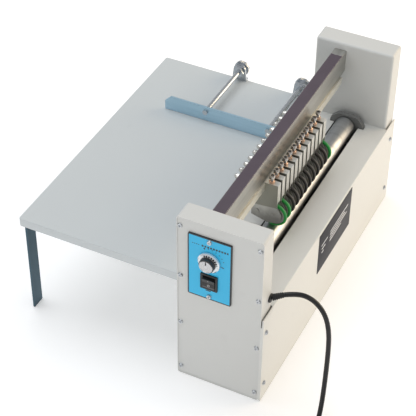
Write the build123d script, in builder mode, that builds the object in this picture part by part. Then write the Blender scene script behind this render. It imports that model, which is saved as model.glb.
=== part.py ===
from build123d import *
import math
import os

os.makedirs("parts", exist_ok=True)

# Bench-top machine that slits or creases sheets: a feed table, a driven roller and a row of
# spring-loaded wheels, carried between two end housings. All sizes are in millimetres.
# +Y runs along the roller, +X is the way the sheet travels, z = 0 is the floor.
# The origin is in the middle of the base, between the two end housings.

# Overall sizes
MACHINE_LENGTH = 520.0
HOUSING_DEPTH = 130.0
HOUSING_WIDTH = 34.0
HOUSING_HEIGHT = 305.0
TABLE_DEPTH = 272.0

# Folded sheet steel
SHEET = 1.5
BEND = 4.0
PLATE = 2.0
PLATE_RECESS = 0.8
RIM = 9.0

# Cross beam, and the tool rail clamped under it
BEAM_X = -23.0
BEAM_WIDTH = 20.0
BEAM_HEIGHT = 38.0
BEAM_DROP = 12.0
RAIL_X = -20.0
RAIL_WIDTH = 20.0
RAIL_HEIGHT = 12.0
RAIL_END_GAP = 19.0

# Tool units: a fixed holder, a swing arm and a wheel each
UNIT_COUNT = 12
UNIT_PITCH = 15.5
HOLDER_WIDTH = 10.4
HOLDER_SHEET = 1.0
HOLDER_REACH = 21.0
HOLDER_RISE = 3.0
SIDE_GAP = 0.3
ARM_SHEET = 1.0
PIVOT_X = -20.5
PIVOT_DROP = 43.0
ARM_REACH = 25.5
ARM_LIFT = 8.0
ARM_SHORT = 4.3
BRIDGE_GAP = 2.9
PIN_RADIUS = 1.95
AXLE_RADIUS = 2.0
RUN_CLEARANCE = 0.05
WHEEL_RADIUS = 20.3
WHEEL_WIDTH = 4.8
TYRE_DEPTH = 3.8
BOLT_RADIUS = 2.4
BOLT_END = 42.0
SPRING_RADIUS = 3.4
SPRING_WIRE = 1.0

# Drive roller, its bearings and its gears
ROLLER_RADIUS = 16.5
ROLLER_BEHIND = 3.0
NIP_GAP = 0.3
BRACKET_GAP = 16.0
BRACKET_WIDTH = 8.0
BRACKET_PROUD = 2.5
BRACKET_FALL = 33.0
JOURNAL_RADIUS = 6.0
BEARING_RADIUS = 14.0
MODULE = 1.5
ROLLER_TEETH = 60
PINION_TEETH = 36
GEAR_WIDTH = 12.0
MOTOR_SHAFT_RADIUS = 5.0
GEARHEAD_SIZE = 60.0
GEARHEAD_LENGTH = 40.0
MOTOR_LENGTH = 86.0

# Feed table and its legs
TABLE_LIP = 14.0
TABLE_NEAR_INSET = 18.0
TABLE_FAR_INSET = 30.0
LEG_WIDTH = 22.0
LEG_THICK = 3.0
LEG_INSET = 9.0

# Side guide
GUIDE_Y = 97.0
GUIDE_THICK = 3.0
GUIDE_HEIGHT = 26.0
GUIDE_LENGTH = 200.0
GUIDE_GAP = 0.5
GUIDE_START = 67.0
ROD_RADIUS = 4.0
ROD_RISE = 17.0
ROD_OFFSETS = (140.0, 250.0)
BRACKET_PLATE = 3.0
KNOB_RADIUS = 13.0

# Control panel
PANEL_WIDTH = 66.0
PANEL_HEIGHT = 112.0
PANEL_THICK = 2.5
PANEL_X = -14.0
PANEL_DROP = 77.0
DIAL_RADIUS = 16.5
POT_RADIUS = 3.0
SWITCH_WIDTH = 24.0
SWITCH_HEIGHT = 25.5
ROCKER_TILT = 20.0

# Mains cord and its strain relief
CORD_DIAMETER = 7.2
GLAND_RADIUS = 5.0
GLAND_LENGTH = 20.0
GLAND_TURN = 31.0
GLAND_SLOPE = 0.22
GLAND_INSET = 28.0
GLAND_RISE = 20.0
COIL_TURN_RADIUS = 39.6
COIL_WIDE = 3
COIL_HIGH = 2

# Places worked out from the sizes above
end_y = MACHINE_LENGTH / 2
inner_y = end_y - HOUSING_WIDTH
side_x = HOUSING_DEPTH / 2
beam_top = HOUSING_HEIGHT - BEAM_DROP
beam_bottom = beam_top - BEAM_HEIGHT
rail_bottom = beam_bottom - RAIL_HEIGHT
rail_face = RAIL_X + RAIL_WIDTH / 2
pivot_z = rail_bottom - PIVOT_DROP
axle_x = PIVOT_X + ARM_REACH
roller_x = axle_x - ROLLER_BEHIND
roller_z = pivot_z - math.sqrt((WHEEL_RADIUS + ROLLER_RADIUS + NIP_GAP) ** 2 - ROLLER_BEHIND**2)
deck_z = roller_z + 1.0
table_z = roller_z + ROLLER_RADIUS + 0.5
bracket_y = inner_y - BRACKET_GAP
gear_distance = MODULE * (ROLLER_TEETH + PINION_TEETH) / 2
motor_z = roller_z - gear_distance
table_near = -end_y + TABLE_NEAR_INSET
table_far = end_y - TABLE_FAR_INSET
table_edge = -side_x - TABLE_DEPTH
rod_z = table_z + ROD_RISE
rod_xs = [table_edge + offset for offset in ROD_OFFSETS]
plate_face = end_y - PLATE_RECESS
panel_face = plate_face + PANEL_THICK
panel_z = HOUSING_HEIGHT - PANEL_DROP
gland_y = -end_y + GLAND_INSET
gland_z = deck_z + GLAND_RISE
unit_ys = [(number - (UNIT_COUNT - 1) / 2) * UNIT_PITCH for number in range(UNIT_COUNT)]


def facing_near(y):
    """Upright plane at y that looks towards -Y; its own x is X and its own y is Z."""
    return Plane(origin=(0, y, 0), x_dir=(1, 0, 0), z_dir=(0, -1, 0))


def facing_outlet(x):
    """Upright plane at x that looks towards +X; its own x is Y and its own y is Z."""
    return Plane(origin=(x, 0, 0), x_dir=(0, 1, 0), z_dir=(1, 0, 0))


def level(z):
    return Plane.XY.offset(z)


def save(solid, name):
    solid.label = name
    export_step(solid, f"parts/{name}.step")


def rod_along_y(x, z, y_from, y_to, radius, mode=Mode.ADD):
    """Round bar between two places on Y, added to or cut from the part being made."""
    with BuildSketch(facing_near(max(y_from, y_to))) as profile:
        with Locations((x, z)):
            Circle(radius)
    extrude(profile.sketch, amount=abs(y_to - y_from), mode=mode)


def rod_along_x(y, z, x_from, x_to, radius, mode=Mode.ADD):
    with BuildSketch(facing_outlet(min(x_from, x_to))) as profile:
        with Locations((y, z)):
            Circle(radius)
    extrude(profile.sketch, amount=abs(x_to - x_from), mode=mode)


def rod_along_z(x, y, z_from, z_to, radius, mode=Mode.ADD):
    with BuildSketch(level(z_from)) as profile:
        with Locations((x, y)):
            Circle(radius)
    extrude(profile.sketch, amount=z_to - z_from, mode=mode)


def block(x_from, x_to, y_from, y_to, z_from, z_to, mode=Mode.ADD):
    """Straight block between two corners, added to or cut from the part being made."""
    with BuildSketch(level(z_from)) as profile:
        with Locations(((x_from + x_to) / 2, (y_from + y_to) / 2)):
            Rectangle(x_to - x_from, y_to - y_from)
    extrude(profile.sketch, amount=z_to - z_from, mode=mode)


def outline(points, y_from, y_to, mode=Mode.ADD):
    """Slab between two places on Y with a straight-sided outline given in X and Z."""
    with BuildSketch(facing_near(y_to)) as profile:
        with BuildLine():
            Polyline(*points, close=True)
        make_face()
    extrude(profile.sketch, amount=y_to - y_from, mode=mode)


# End housings: folded shells, open on the outside, with a rim flange behind the cover plate
SCREW_INSET = 5.6
SCREW_HOLE = 2.0
BEAM_SCREW = 3.0
BEAM_SCREW_INSET = 9.0
screw_xs = (-side_x + SCREW_INSET, side_x - SCREW_INSET)
screw_zs = [HOUSING_HEIGHT * share for share in (0.05, 0.35, 0.65, 0.95)]

with BuildPart() as shell:
    with BuildSketch(facing_near(-inner_y)) as shell_face:
        with Locations((0, HOUSING_HEIGHT / 2)):
            Rectangle(HOUSING_DEPTH, HOUSING_HEIGHT)
        fillet(shell_face.vertices().group_by(Axis.Z)[-1], BEND)
    extrude(amount=HOUSING_WIDTH)
    bends = shell.edges().group_by(Axis.Y)[-1].filter_by(lambda edge: edge.center().Z > 1)
    fillet(bends, BEND)
    with BuildSketch(facing_near(-inner_y - SHEET)) as hollow_face:
        with Locations((0, HOUSING_HEIGHT / 2)):
            Rectangle(HOUSING_DEPTH - 2 * SHEET, HOUSING_HEIGHT - 2 * SHEET)
        fillet(hollow_face.vertices().group_by(Axis.Z)[-1], BEND - SHEET)
    extrude(amount=HOUSING_WIDTH, mode=Mode.SUBTRACT)
    with BuildSketch(facing_near(-plate_face + PLATE + SHEET)):
        with Locations((0, HOUSING_HEIGHT / 2)):
            Rectangle(HOUSING_DEPTH - SHEET, HOUSING_HEIGHT - SHEET)
            Rectangle(HOUSING_DEPTH - 2 * RIM, HOUSING_HEIGHT - 2 * RIM, mode=Mode.SUBTRACT)
    extrude(amount=SHEET)
    for x in screw_xs:
        for z in screw_zs:
            rod_along_y(x, z, -end_y, -end_y + 2 * PLATE + SHEET, SCREW_HOLE, Mode.SUBTRACT)
    for z in (beam_bottom + BEAM_SCREW_INSET, beam_top - BEAM_SCREW_INSET):
        rod_along_y(BEAM_X, z, -inner_y - 2 * SHEET, -inner_y, BEAM_SCREW, Mode.SUBTRACT)

with BuildPart() as near_housing:
    add(shell.part)
    rod_along_x(gland_y, gland_z, side_x - 2 * SHEET, side_x, GLAND_RADIUS, Mode.SUBTRACT)

with BuildPart() as far_housing:
    add(mirror(shell.part, about=Plane.XZ))
    rod_along_y(roller_x, roller_z, inner_y, inner_y + 2 * SHEET, 10.0, Mode.SUBTRACT)
    rod_along_y(roller_x, motor_z, inner_y, inner_y + 2 * SHEET, 10.0, Mode.SUBTRACT)

save(near_housing.part, "near_housing")
save(far_housing.part, "far_housing")

# Cover plates: flat, set a little inside the rim of each shell
with BuildPart() as blank_plate:
    with BuildSketch(facing_near(-plate_face + PLATE)) as plate_sketch:
        with Locations((0, HOUSING_HEIGHT / 2)):
            Rectangle(HOUSING_DEPTH - 2 * SHEET, HOUSING_HEIGHT - 2 * SHEET)
        fillet(plate_sketch.vertices().group_by(Axis.Z)[-1], BEND - SHEET)
    extrude(amount=PLATE)
    for x in screw_xs:
        for z in screw_zs:
            rod_along_y(x, z, -end_y, -end_y + 2 * PLATE, SCREW_HOLE, Mode.SUBTRACT)

CONTROLLER_MARGIN = 6.0
PANEL_SCREW_INSET = 6.0
controller_width = PANEL_WIDTH - 2 * CONTROLLER_MARGIN
controller_height = PANEL_HEIGHT - 2 * CONTROLLER_MARGIN - 8.0
panel_screw_zs = (panel_z - PANEL_HEIGHT / 2 + PANEL_SCREW_INSET,
                  panel_z + PANEL_HEIGHT / 2 - PANEL_SCREW_INSET)

with BuildPart() as near_cover_plate:
    add(blank_plate.part)
    with BuildSketch(facing_near(-plate_face + PLATE)):
        with Locations((PANEL_X, panel_z)):
            Rectangle(controller_width, controller_height)
    extrude(amount=PLATE, mode=Mode.SUBTRACT)
    for z in panel_screw_zs:
        rod_along_y(PANEL_X, z, -end_y, -end_y + 2 * PLATE, SCREW_HOLE, Mode.SUBTRACT)

with BuildPart() as far_cover_plate:
    add(mirror(blank_plate.part, about=Plane.XZ))

save(near_cover_plate.part, "near_cover_plate")
save(far_cover_plate.part, "far_cover_plate")

# Base pan: floor of the machine and its wall on the table side
COVER_GAP = 2.0
COVER_SHEET = 2.0
cover_inside = side_x + COVER_GAP
cover_face = cover_inside + COVER_SHEET

with BuildPart() as base_pan:
    block(-side_x, cover_inside, -inner_y, inner_y, 0, SHEET)
    block(-side_x, -side_x + SHEET, -inner_y, inner_y, SHEET, deck_z - SHEET)
save(base_pan.part, "base_pan")

# Outlet cover: deck with the roller slot, and the front face that laps over both housings
SLOT_BEFORE = ROLLER_RADIUS + 3.5
SLOT_BEYOND = ROLLER_RADIUS + 5.5
BRACKET_BEFORE = 27.0
BRACKET_BEYOND = 30.0
HEM = 14.0
cover_screws = [(y, deck_z * share) for y in (-end_y + 10.0, end_y - 17.0) for share in (0.19, 0.82)]

with BuildPart() as outlet_cover:
    block(cover_inside, cover_face, -end_y, end_y, 0, deck_z)
    block(-side_x, cover_face, -inner_y, inner_y, deck_z - SHEET, deck_z)
    top_edge = outlet_cover.edges().filter_by(Axis.Y).filter_by(
        lambda edge: edge.center().X > cover_face - 0.1 and edge.center().Z > deck_z - 0.1)
    fillet(top_edge, 1.4)
    for sign in (-1, 1):
        outer, inner = sign * end_y, sign * (end_y - HEM - 6.0)
        block(side_x, cover_inside, min(outer, inner), max(outer, inner), COVER_SHEET, deck_z - HEM)
        near, far = sign * (bracket_y - 1), sign * (bracket_y + BRACKET_WIDTH + 1)
        block(roller_x - BRACKET_BEFORE - 1, roller_x + BRACKET_BEYOND + 1, min(near, far),
              max(near, far), deck_z - 2 * SHEET, deck_z, Mode.SUBTRACT)
    block(roller_x - SLOT_BEFORE, roller_x + SLOT_BEYOND, -bracket_y, bracket_y,
          deck_z - 2 * SHEET, deck_z, Mode.SUBTRACT)
    block(roller_x - JOURNAL_RADIUS - 2, roller_x + JOURNAL_RADIUS + 2, bracket_y, inner_y,
          deck_z - 2 * SHEET, deck_z, Mode.SUBTRACT)
    for y, z in cover_screws:
        rod_along_x(y, z, side_x, cover_face, SCREW_HOLE, Mode.SUBTRACT)
save(outlet_cover.part, "outlet_cover")

# Feed table: one tray of sheet steel with turned-down lips
with BuildPart() as feed_table:
    block(table_edge, -side_x, table_near, table_far, table_z - TABLE_LIP, table_z)
    corners = feed_table.edges().filter_by(Axis.Z).group_by(Axis.X)[0]
    fillet(corners, BEND)
    rim = feed_table.edges().group_by(Axis.Z)[-1].filter_by(lambda edge: edge.center().X < -side_x - 1)
    fillet(rim, 1.4)
    block(table_edge + SHEET, -side_x - SHEET, table_near + SHEET, table_far - SHEET,
          table_z - TABLE_LIP, table_z - SHEET, Mode.SUBTRACT)
save(feed_table.part, "feed_table")

# Legs: two flat bars, bent over at the top and fixed under the table's corners
LEG_FLANGE = 25.0
leg_x = table_edge + LEG_INSET
leg_top = table_z - SHEET
leg_ys = (table_near + SHEET, table_far - SHEET - LEG_WIDTH)

with BuildPart() as table_legs:
    for y in leg_ys:
        outline([(leg_x, 0), (leg_x + LEG_THICK, 0), (leg_x + LEG_THICK, leg_top - LEG_THICK),
                 (leg_x + LEG_FLANGE, leg_top - LEG_THICK), (leg_x + LEG_FLANGE, leg_top),
                 (leg_x, leg_top)], y, y + LEG_WIDTH)
save(table_legs.part, "table_legs")

# Cross beam and tool rail
BEAM_SCREW_DEEP = 14.0
with BuildPart() as cross_beam:
    block(BEAM_X - BEAM_WIDTH / 2, BEAM_X + BEAM_WIDTH / 2, -inner_y, inner_y, beam_bottom, beam_top)
    chamfer(cross_beam.edges().filter_by(Axis.Y), 0.6)
    for sign in (-1, 1):
        for z in (beam_bottom + BEAM_SCREW_INSET, beam_top - BEAM_SCREW_INSET):
            rod_along_y(BEAM_X, z, sign * (inner_y - BEAM_SCREW_DEEP), sign * inner_y, BEAM_SCREW,
                        Mode.SUBTRACT)
save(cross_beam.part, "cross_beam")

rail_z = rail_bottom + RAIL_HEIGHT / 2
rail_end = inner_y - RAIL_END_GAP

with BuildPart() as tool_rail:
    block(RAIL_X - RAIL_WIDTH / 2, rail_face, -rail_end, rail_end, rail_bottom, beam_bottom)
    for y in unit_ys:
        rod_along_x(y, rail_z, RAIL_X - RAIL_WIDTH / 2, rail_face, BOLT_RADIUS, Mode.SUBTRACT)
save(tool_rail.part, "tool_rail")

# Tool holder: a channel with a clamp block under the rail, a top cap and a tongue for the pivot
holder_top = beam_bottom + HOLDER_RISE
holder_front = rail_face + HOLDER_REACH
holder_back = RAIL_X - RAIL_WIDTH / 2 - 2.0
bridge_top = pivot_z + WHEEL_RADIUS + BRIDGE_GAP
lift_height = (holder_front - PIVOT_X) * math.sin(math.radians(ARM_LIFT))
web_bottom = bridge_top + 1.8
clamp_bottom = bridge_top + lift_height + 0.4
inside_half = HOLDER_WIDTH / 2 - HOLDER_SHEET
cheek_outer = inside_half - SIDE_GAP
cheek_inner = cheek_outer - ARM_SHEET
tongue_half = cheek_inner - 0.5
TONGUE_RADIUS = 4.2
screw_x = axle_x - 6.0
cap_bottom = holder_top - HOLDER_SHEET - 0.2

with BuildPart() as holder:
    outline([(holder_back, rail_bottom - 0.5), (rail_face, rail_bottom - 0.5), (rail_face, holder_top),
             (holder_front, holder_top), (holder_front, pivot_z + 16.0), (holder_back, pivot_z + 12.0)],
            -HOLDER_WIDTH / 2, HOLDER_WIDTH / 2)
    outline([(holder_back - 1, clamp_bottom), (rail_face + SHEET, clamp_bottom),
             (rail_face + SHEET, cap_bottom), (holder_front - 1.2, cap_bottom),
             (holder_front - 1.2, pivot_z + 10.0), (holder_back - 1, pivot_z + 10.0)],
            -inside_half, inside_half, Mode.SUBTRACT)
    block(holder_front - 2, holder_front, -inside_half, inside_half, pivot_z, web_bottom, Mode.SUBTRACT)
    block(PIVOT_X - TONGUE_RADIUS, PIVOT_X + TONGUE_RADIUS, -tongue_half, tongue_half,
          pivot_z, clamp_bottom)
    rod_along_y(PIVOT_X, pivot_z, -tongue_half, tongue_half, TONGUE_RADIUS)
    rod_along_y(PIVOT_X, pivot_z, -tongue_half, tongue_half, PIN_RADIUS, Mode.SUBTRACT)
    rod_along_x(0, rail_z, rail_face, rail_face + SHEET, BOLT_RADIUS, Mode.SUBTRACT)
    rod_along_z(screw_x, 0, cap_bottom, holder_top, 2.5, Mode.SUBTRACT)

with BuildPart() as tool_holders:
    with Locations([(0, y, 0) for y in unit_ys]):
        add(holder.part)
save(tool_holders.part, "tool_holders")

# Holder bolts: pulled through the rail, each with a clamp nut, a lock nut and a domed cap nut
HEX_NUT = 8.0
nut_start = rail_face - BOLT_END
rail_back = RAIL_X - RAIL_WIDTH / 2


def hex_along_x(y, z, x_from, x_to, across, bore):
    """Hexagon between two places on X, flats top and bottom, with a hole through it."""
    with BuildSketch(facing_outlet(x_from)) as profile:
        with Locations((y, z)):
            RegularPolygon(across / 2, 6, major_radius=False)
            Circle(bore, mode=Mode.SUBTRACT)
    extrude(profile.sketch, amount=x_to - x_from)


NUT_HIGH = 4.0

with BuildPart() as bolt:
    rod_along_x(0, rail_z, nut_start, rail_face + SHEET, BOLT_RADIUS)
    rod_along_x(0, rail_z, rail_face + SHEET, rail_face + SHEET + 3.0, 4.0)

with BuildPart() as clamp_nut:
    hex_along_x(0, rail_z, rail_back - NUT_HIGH, rail_back, HEX_NUT, BOLT_RADIUS)

with BuildPart() as lock_nut:
    hex_along_x(0, rail_z, nut_start, nut_start + NUT_HIGH, HEX_NUT, BOLT_RADIUS)

with BuildPart() as cap_nut:
    hex_along_x(0, rail_z, nut_start - NUT_HIGH, nut_start, HEX_NUT, BOLT_RADIUS)
    rod_along_x(0, rail_z, nut_start - 5.0, nut_start, BOLT_RADIUS + 0.6)
    with Locations((nut_start - 4.5, 0, rail_z)):
        Sphere(3.9)

holder_bolts = []
for y in unit_ys:
    for piece in (bolt, clamp_nut, lock_nut, cap_nut):
        holder_bolts.append(Location((0, y, 0)) * piece.part.solid())
save(Compound(children=holder_bolts), "holder_bolts")

# Adjusting screws with brass lock nuts, and the springs that they press on
SCREW_SHANK = 2.5
SCREW_BELOW = 10.5
SCREW_ABOVE = 8.0
SCREW_HEAD_HIGH = 5.0
SOCKET_DEEP = 3.0
SPRING_PAD = 1.5
spring_top = holder_top - SCREW_BELOW
head_bottom = holder_top + SCREW_ABOVE
head_top = head_bottom + SCREW_HEAD_HIGH
SCREW_HEAD = 4.2

with BuildPart() as adjusting_screw:
    rod_along_z(screw_x, 0, spring_top + SPRING_PAD, head_bottom, SCREW_SHANK)
    rod_along_z(screw_x, 0, spring_top, spring_top + SPRING_PAD, SPRING_RADIUS)
    rod_along_z(screw_x, 0, head_bottom, head_top, SCREW_HEAD)
    with BuildSketch(level(head_top)):
        with Locations((screw_x, 0)):
            RegularPolygon(2.0, 6, major_radius=False)
    extrude(amount=-SOCKET_DEEP, mode=Mode.SUBTRACT)

with BuildPart() as brass_nut:
    with BuildSketch(level(holder_top)):
        with Locations((screw_x, 0)):
            RegularPolygon(4.0, 6, major_radius=False)
            Circle(SCREW_SHANK, mode=Mode.SUBTRACT)
    extrude(amount=3.5)

with BuildPart() as press_spring:
    rod_along_z(screw_x, 0, bridge_top, spring_top, SPRING_RADIUS)
    rod_along_z(screw_x, 0, bridge_top, spring_top, SPRING_RADIUS - SPRING_WIRE, Mode.SUBTRACT)

with BuildPart() as press_springs:
    with Locations([(0, y, 0) for y in unit_ys]):
        add(press_spring.part)
save(press_springs.part, "press_springs")

adjusting_screws = []
for y in unit_ys:
    for piece in (adjusting_screw, brass_nut):
        adjusting_screws.append(Location((0, y, 0)) * piece.part.solid())
save(Compound(children=adjusting_screws), "adjusting_screws")

# Pivot pins: one through each holder's tongue, with a head at both ends
PIN_HEAD = 3.2
pin_seat = cheek_outer + 0.15

with BuildPart() as pivot_pin:
    rod_along_y(PIVOT_X, pivot_z, -pin_seat, pin_seat, PIN_RADIUS)
    rod_along_y(PIVOT_X, pivot_z, pin_seat, pin_seat + 1.0, PIN_HEAD)
    rod_along_y(PIVOT_X, pivot_z, -pin_seat - 1.0, -pin_seat, PIN_HEAD)

with BuildPart() as pivot_pins:
    with Locations([(0, y, 0) for y in unit_ys]):
        add(pivot_pin.part)
save(pivot_pins.part, "pivot_pins")

# Swing arm: two cheeks joined over the wheel and at the back, with the wheel's riveted axle
arm_back = PIVOT_X - 9.5
arm_drop = WHEEL_RADIUS - ARM_SHORT
arm_points = [
    (arm_back, pivot_z + 9.0),
    (axle_x - 10.0, bridge_top),
    (axle_x + 1.0, bridge_top),
    (axle_x + arm_drop - 9.0, pivot_z + arm_drop - 2.0),
    (axle_x + arm_drop - 3.0, pivot_z + 2.0),
    (axle_x + arm_drop - 4.5, pivot_z - arm_drop / 2),
    (axle_x + arm_drop - 11.0, pivot_z - arm_drop + 2.5),
    (axle_x - 9.0, pivot_z - arm_drop),
    (arm_back, pivot_z - 9.0),
]

with BuildPart() as arm:
    with BuildSketch(facing_near(cheek_outer)) as arm_sketch:
        with BuildLine():
            Polyline(*arm_points, close=True)
        make_face()
        lower_corners = arm_sketch.vertices().filter_by(
            lambda vertex: vertex.X > axle_x + 4 and vertex.Z < pivot_z + 5)
        fillet(lower_corners, 5.0)
        with Locations((PIVOT_X, pivot_z)):
            Circle(PIN_RADIUS + RUN_CLEARANCE, mode=Mode.SUBTRACT)
    extrude(amount=2 * cheek_outer)
    outline([(arm_back + ARM_SHEET + 0.2, pivot_z - 20), (axle_x + 20, pivot_z - 20),
             (axle_x + 20, bridge_top - 1.2), (arm_back + ARM_SHEET + 0.2, bridge_top - 1.2)],
            -cheek_inner, cheek_inner, Mode.SUBTRACT)
    outline([(arm_back - 1, pivot_z + 7.0), (axle_x - 9.0, bridge_top - 1.2), (axle_x - 9.0, bridge_top + 1),
             (arm_back - 1, bridge_top + 1)], -cheek_inner, cheek_inner, Mode.SUBTRACT)
    rod_along_y(axle_x, pivot_z, -cheek_outer, cheek_outer, AXLE_RADIUS)
    rod_along_y(axle_x, pivot_z, cheek_outer, cheek_outer + 1.0, PIN_HEAD)
    rod_along_y(axle_x, pivot_z, -cheek_outer - 1.0, -cheek_outer, PIN_HEAD)

# Wheel: turned hub and disc with a round-edged tyre
disc_radius = WHEEL_RADIUS - TYRE_DEPTH
hub_half = cheek_inner - 0.3
HUB_RADIUS = 5.5
DISC_HALF = 1.2

with BuildPart() as wheel:
    with BuildSketch(Plane(origin=(axle_x, 0, pivot_z), x_dir=(1, 0, 0), z_dir=(0, 0, 1))):
        with BuildLine():
            bore = AXLE_RADIUS + RUN_CLEARANCE
            half = WHEEL_WIDTH / 2
            Polyline((disc_radius + half, half), (disc_radius, half), (disc_radius, DISC_HALF),
                     (HUB_RADIUS, DISC_HALF), (HUB_RADIUS, hub_half), (bore, hub_half),
                     (bore, -hub_half), (HUB_RADIUS, -hub_half), (HUB_RADIUS, -DISC_HALF),
                     (disc_radius, -DISC_HALF), (disc_radius, -half), (disc_radius + half, -half))
            ThreePointArc((disc_radius + half, -half), (WHEEL_RADIUS, 0), (disc_radius + half, half))
        make_face()
    revolve(axis=Axis((axle_x, 0, pivot_z), (0, 1, 0)))

for number, y in enumerate(unit_ys, start=1):
    for name, piece in (("arm", arm), ("wheel", wheel)):
        with BuildPart() as placed:
            with Locations((0, y, 0)):
                add(piece.part)
        save(placed.part, f"{name}_{number:02d}")

# Drive roller: steel barrel with turned journals; the far one goes on to carry the gear
gear_y = inner_y + SHEET + 2.5

with BuildPart() as drive_roller:
    rod_along_y(roller_x, roller_z, -bracket_y + 2.0, bracket_y - 2.0, ROLLER_RADIUS)
    chamfer(drive_roller.edges().filter_by(GeomType.CIRCLE), 0.8)
    rod_along_y(roller_x, roller_z, -bracket_y - BRACKET_WIDTH + 0.5, -bracket_y + 2.0,
                JOURNAL_RADIUS - RUN_CLEARANCE)
    rod_along_y(roller_x, roller_z, bracket_y - 2.0, gear_y, JOURNAL_RADIUS - RUN_CLEARANCE)
    rod_along_y(roller_x, roller_z, gear_y, gear_y + GEAR_WIDTH + 3.0, JOURNAL_RADIUS - 1.0)
save(drive_roller.part, "drive_roller")

# Bearing brackets stand through the deck slot and bolt to the housings' inner walls
block_bottom = roller_z - BRACKET_FALL

with BuildPart() as bearing_bracket:
    left, right = roller_x - BRACKET_BEFORE, roller_x + BRACKET_BEYOND
    crown = roller_z + ROLLER_RADIUS + BRACKET_PROUD
    with BuildSketch(facing_near(bracket_y + BRACKET_WIDTH)) as arch:
        with BuildLine():
            Polyline((left, block_bottom), (left, crown - 11.0), (left + 12.0, crown),
                     (right - 11.0, crown), (right, crown - 14.0), (right, block_bottom), close=True)
        make_face()
        fillet(arch.vertices().group_by(Axis.Z)[-1], 6.0)
    extrude(amount=BRACKET_WIDTH)
    block(left, right, bracket_y + BRACKET_WIDTH, inner_y, block_bottom, roller_z - 9.0)
    rod_along_y(roller_x, roller_z, bracket_y, bracket_y + BRACKET_WIDTH, BEARING_RADIUS, Mode.SUBTRACT)

with BuildPart() as bearing_brackets:
    add(bearing_bracket.part)
    add(mirror(bearing_bracket.part, about=Plane.XZ))
save(bearing_brackets.part, "bearing_brackets")

with BuildPart() as ball_bearing:
    rod_along_y(roller_x, roller_z, bracket_y, bracket_y + BRACKET_WIDTH, BEARING_RADIUS)
    rod_along_y(roller_x, roller_z, bracket_y, bracket_y + BRACKET_WIDTH, JOURNAL_RADIUS, Mode.SUBTRACT)

with BuildPart() as roller_bearings:
    add(ball_bearing.part)
    add(mirror(ball_bearing.part, about=Plane.XZ))
save(roller_bearings.part, "roller_bearings")


def spur_gear(teeth, z, first_angle, bore):
    """Spur gear in the far housing, its teeth straight-flanked and cut thin for backlash."""
    pitch_radius = MODULE * teeth / 2
    tip, root = pitch_radius + 0.75 * MODULE, pitch_radius - 1.1 * MODULE
    half_pitch = 0.21 * math.pi * MODULE
    slope = math.tan(math.radians(20))
    with BuildPart() as gear:
        with BuildSketch(facing_near(gear_y + GEAR_WIDTH)) as profile:
            with Locations((roller_x, z)):
                Circle(root)
                with PolarLocations(0, teeth, start_angle=first_angle):
                    Polygon((root - 0.5, -half_pitch - 1.1 * MODULE * slope),
                            (tip, -half_pitch + 0.75 * MODULE * slope),
                            (tip, half_pitch - 0.75 * MODULE * slope),
                            (root - 0.5, half_pitch + 1.1 * MODULE * slope), align=None)
                Circle(bore, mode=Mode.SUBTRACT)
        extrude(profile.sketch, amount=GEAR_WIDTH)
    return gear.part


save(spur_gear(ROLLER_TEETH, roller_z, 0, JOURNAL_RADIUS - 1.0), "roller_gear")

# Motor pinion on the gearhead's output shaft
with BuildPart() as motor_pinion:
    add(spur_gear(PINION_TEETH, motor_z, 180 / PINION_TEETH, MOTOR_SHAFT_RADIUS))
    rod_along_y(roller_x, motor_z, inner_y - 24.0, gear_y + GEAR_WIDTH + 2.0, MOTOR_SHAFT_RADIUS)
save(motor_pinion.part, "motor_pinion")

# Gear motor: square gearhead on the far housing's wall, its shaft above centre, and the motor can
gearhead_z = motor_z - 10.0
gearhead_back = inner_y - GEARHEAD_LENGTH

with BuildPart() as gearhead:
    with BuildSketch(facing_near(inner_y)):
        with Locations((roller_x, gearhead_z)):
            RectangleRounded(GEARHEAD_SIZE, GEARHEAD_SIZE, 6.0)
    extrude(amount=GEARHEAD_LENGTH)
    rod_along_y(roller_x, motor_z, inner_y - 26.0, inner_y, MOTOR_SHAFT_RADIUS + RUN_CLEARANCE,
                Mode.SUBTRACT)

with BuildPart() as motor_can:
    rod_along_y(roller_x, gearhead_z, gearhead_back - MOTOR_LENGTH, gearhead_back, GEARHEAD_SIZE / 2 - 1)
    chamfer(motor_can.edges().filter_by(GeomType.CIRCLE).group_by(Axis.Y)[0], 3.0)
save(Compound(children=[gearhead.part.solid(), motor_can.part.solid()]), "gear_motor")

# Control panel, speed controller behind it, dial and rocker switch
dial_z = panel_z + 15.0
switch_z = panel_z - 22.5
opening_width = SWITCH_WIDTH - 5.0
opening_height = SWITCH_HEIGHT - 3.9
body_width = SWITCH_WIDTH - 1.0
body_height = SWITCH_HEIGHT - 1.5

with BuildPart() as control_panel:
    with BuildSketch(facing_near(-plate_face)):
        with Locations((PANEL_X, panel_z)):
            RectangleRounded(PANEL_WIDTH, PANEL_HEIGHT, 2.0)
        with Locations((PANEL_X, switch_z)):
            Rectangle(body_width, body_height, mode=Mode.SUBTRACT)
        with Locations((PANEL_X, dial_z)):
            Circle(POT_RADIUS + 0.5, mode=Mode.SUBTRACT)
        with Locations([(PANEL_X, z) for z in panel_screw_zs]):
            Circle(SCREW_HOLE, mode=Mode.SUBTRACT)
    extrude(amount=PANEL_THICK)
save(control_panel.part, "control_panel")

DIAL_GAP = 0.6
SKIRT = 5.0
FLUTES = 24
FLUTE_RADIUS = 1.3
GRIP = 6.0
POT_REACH = 8.0
GRIP_RADIUS = 11.5

CONTROLLER_DEPTH = 24.0
controller_back = plate_face - CONTROLLER_DEPTH

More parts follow.
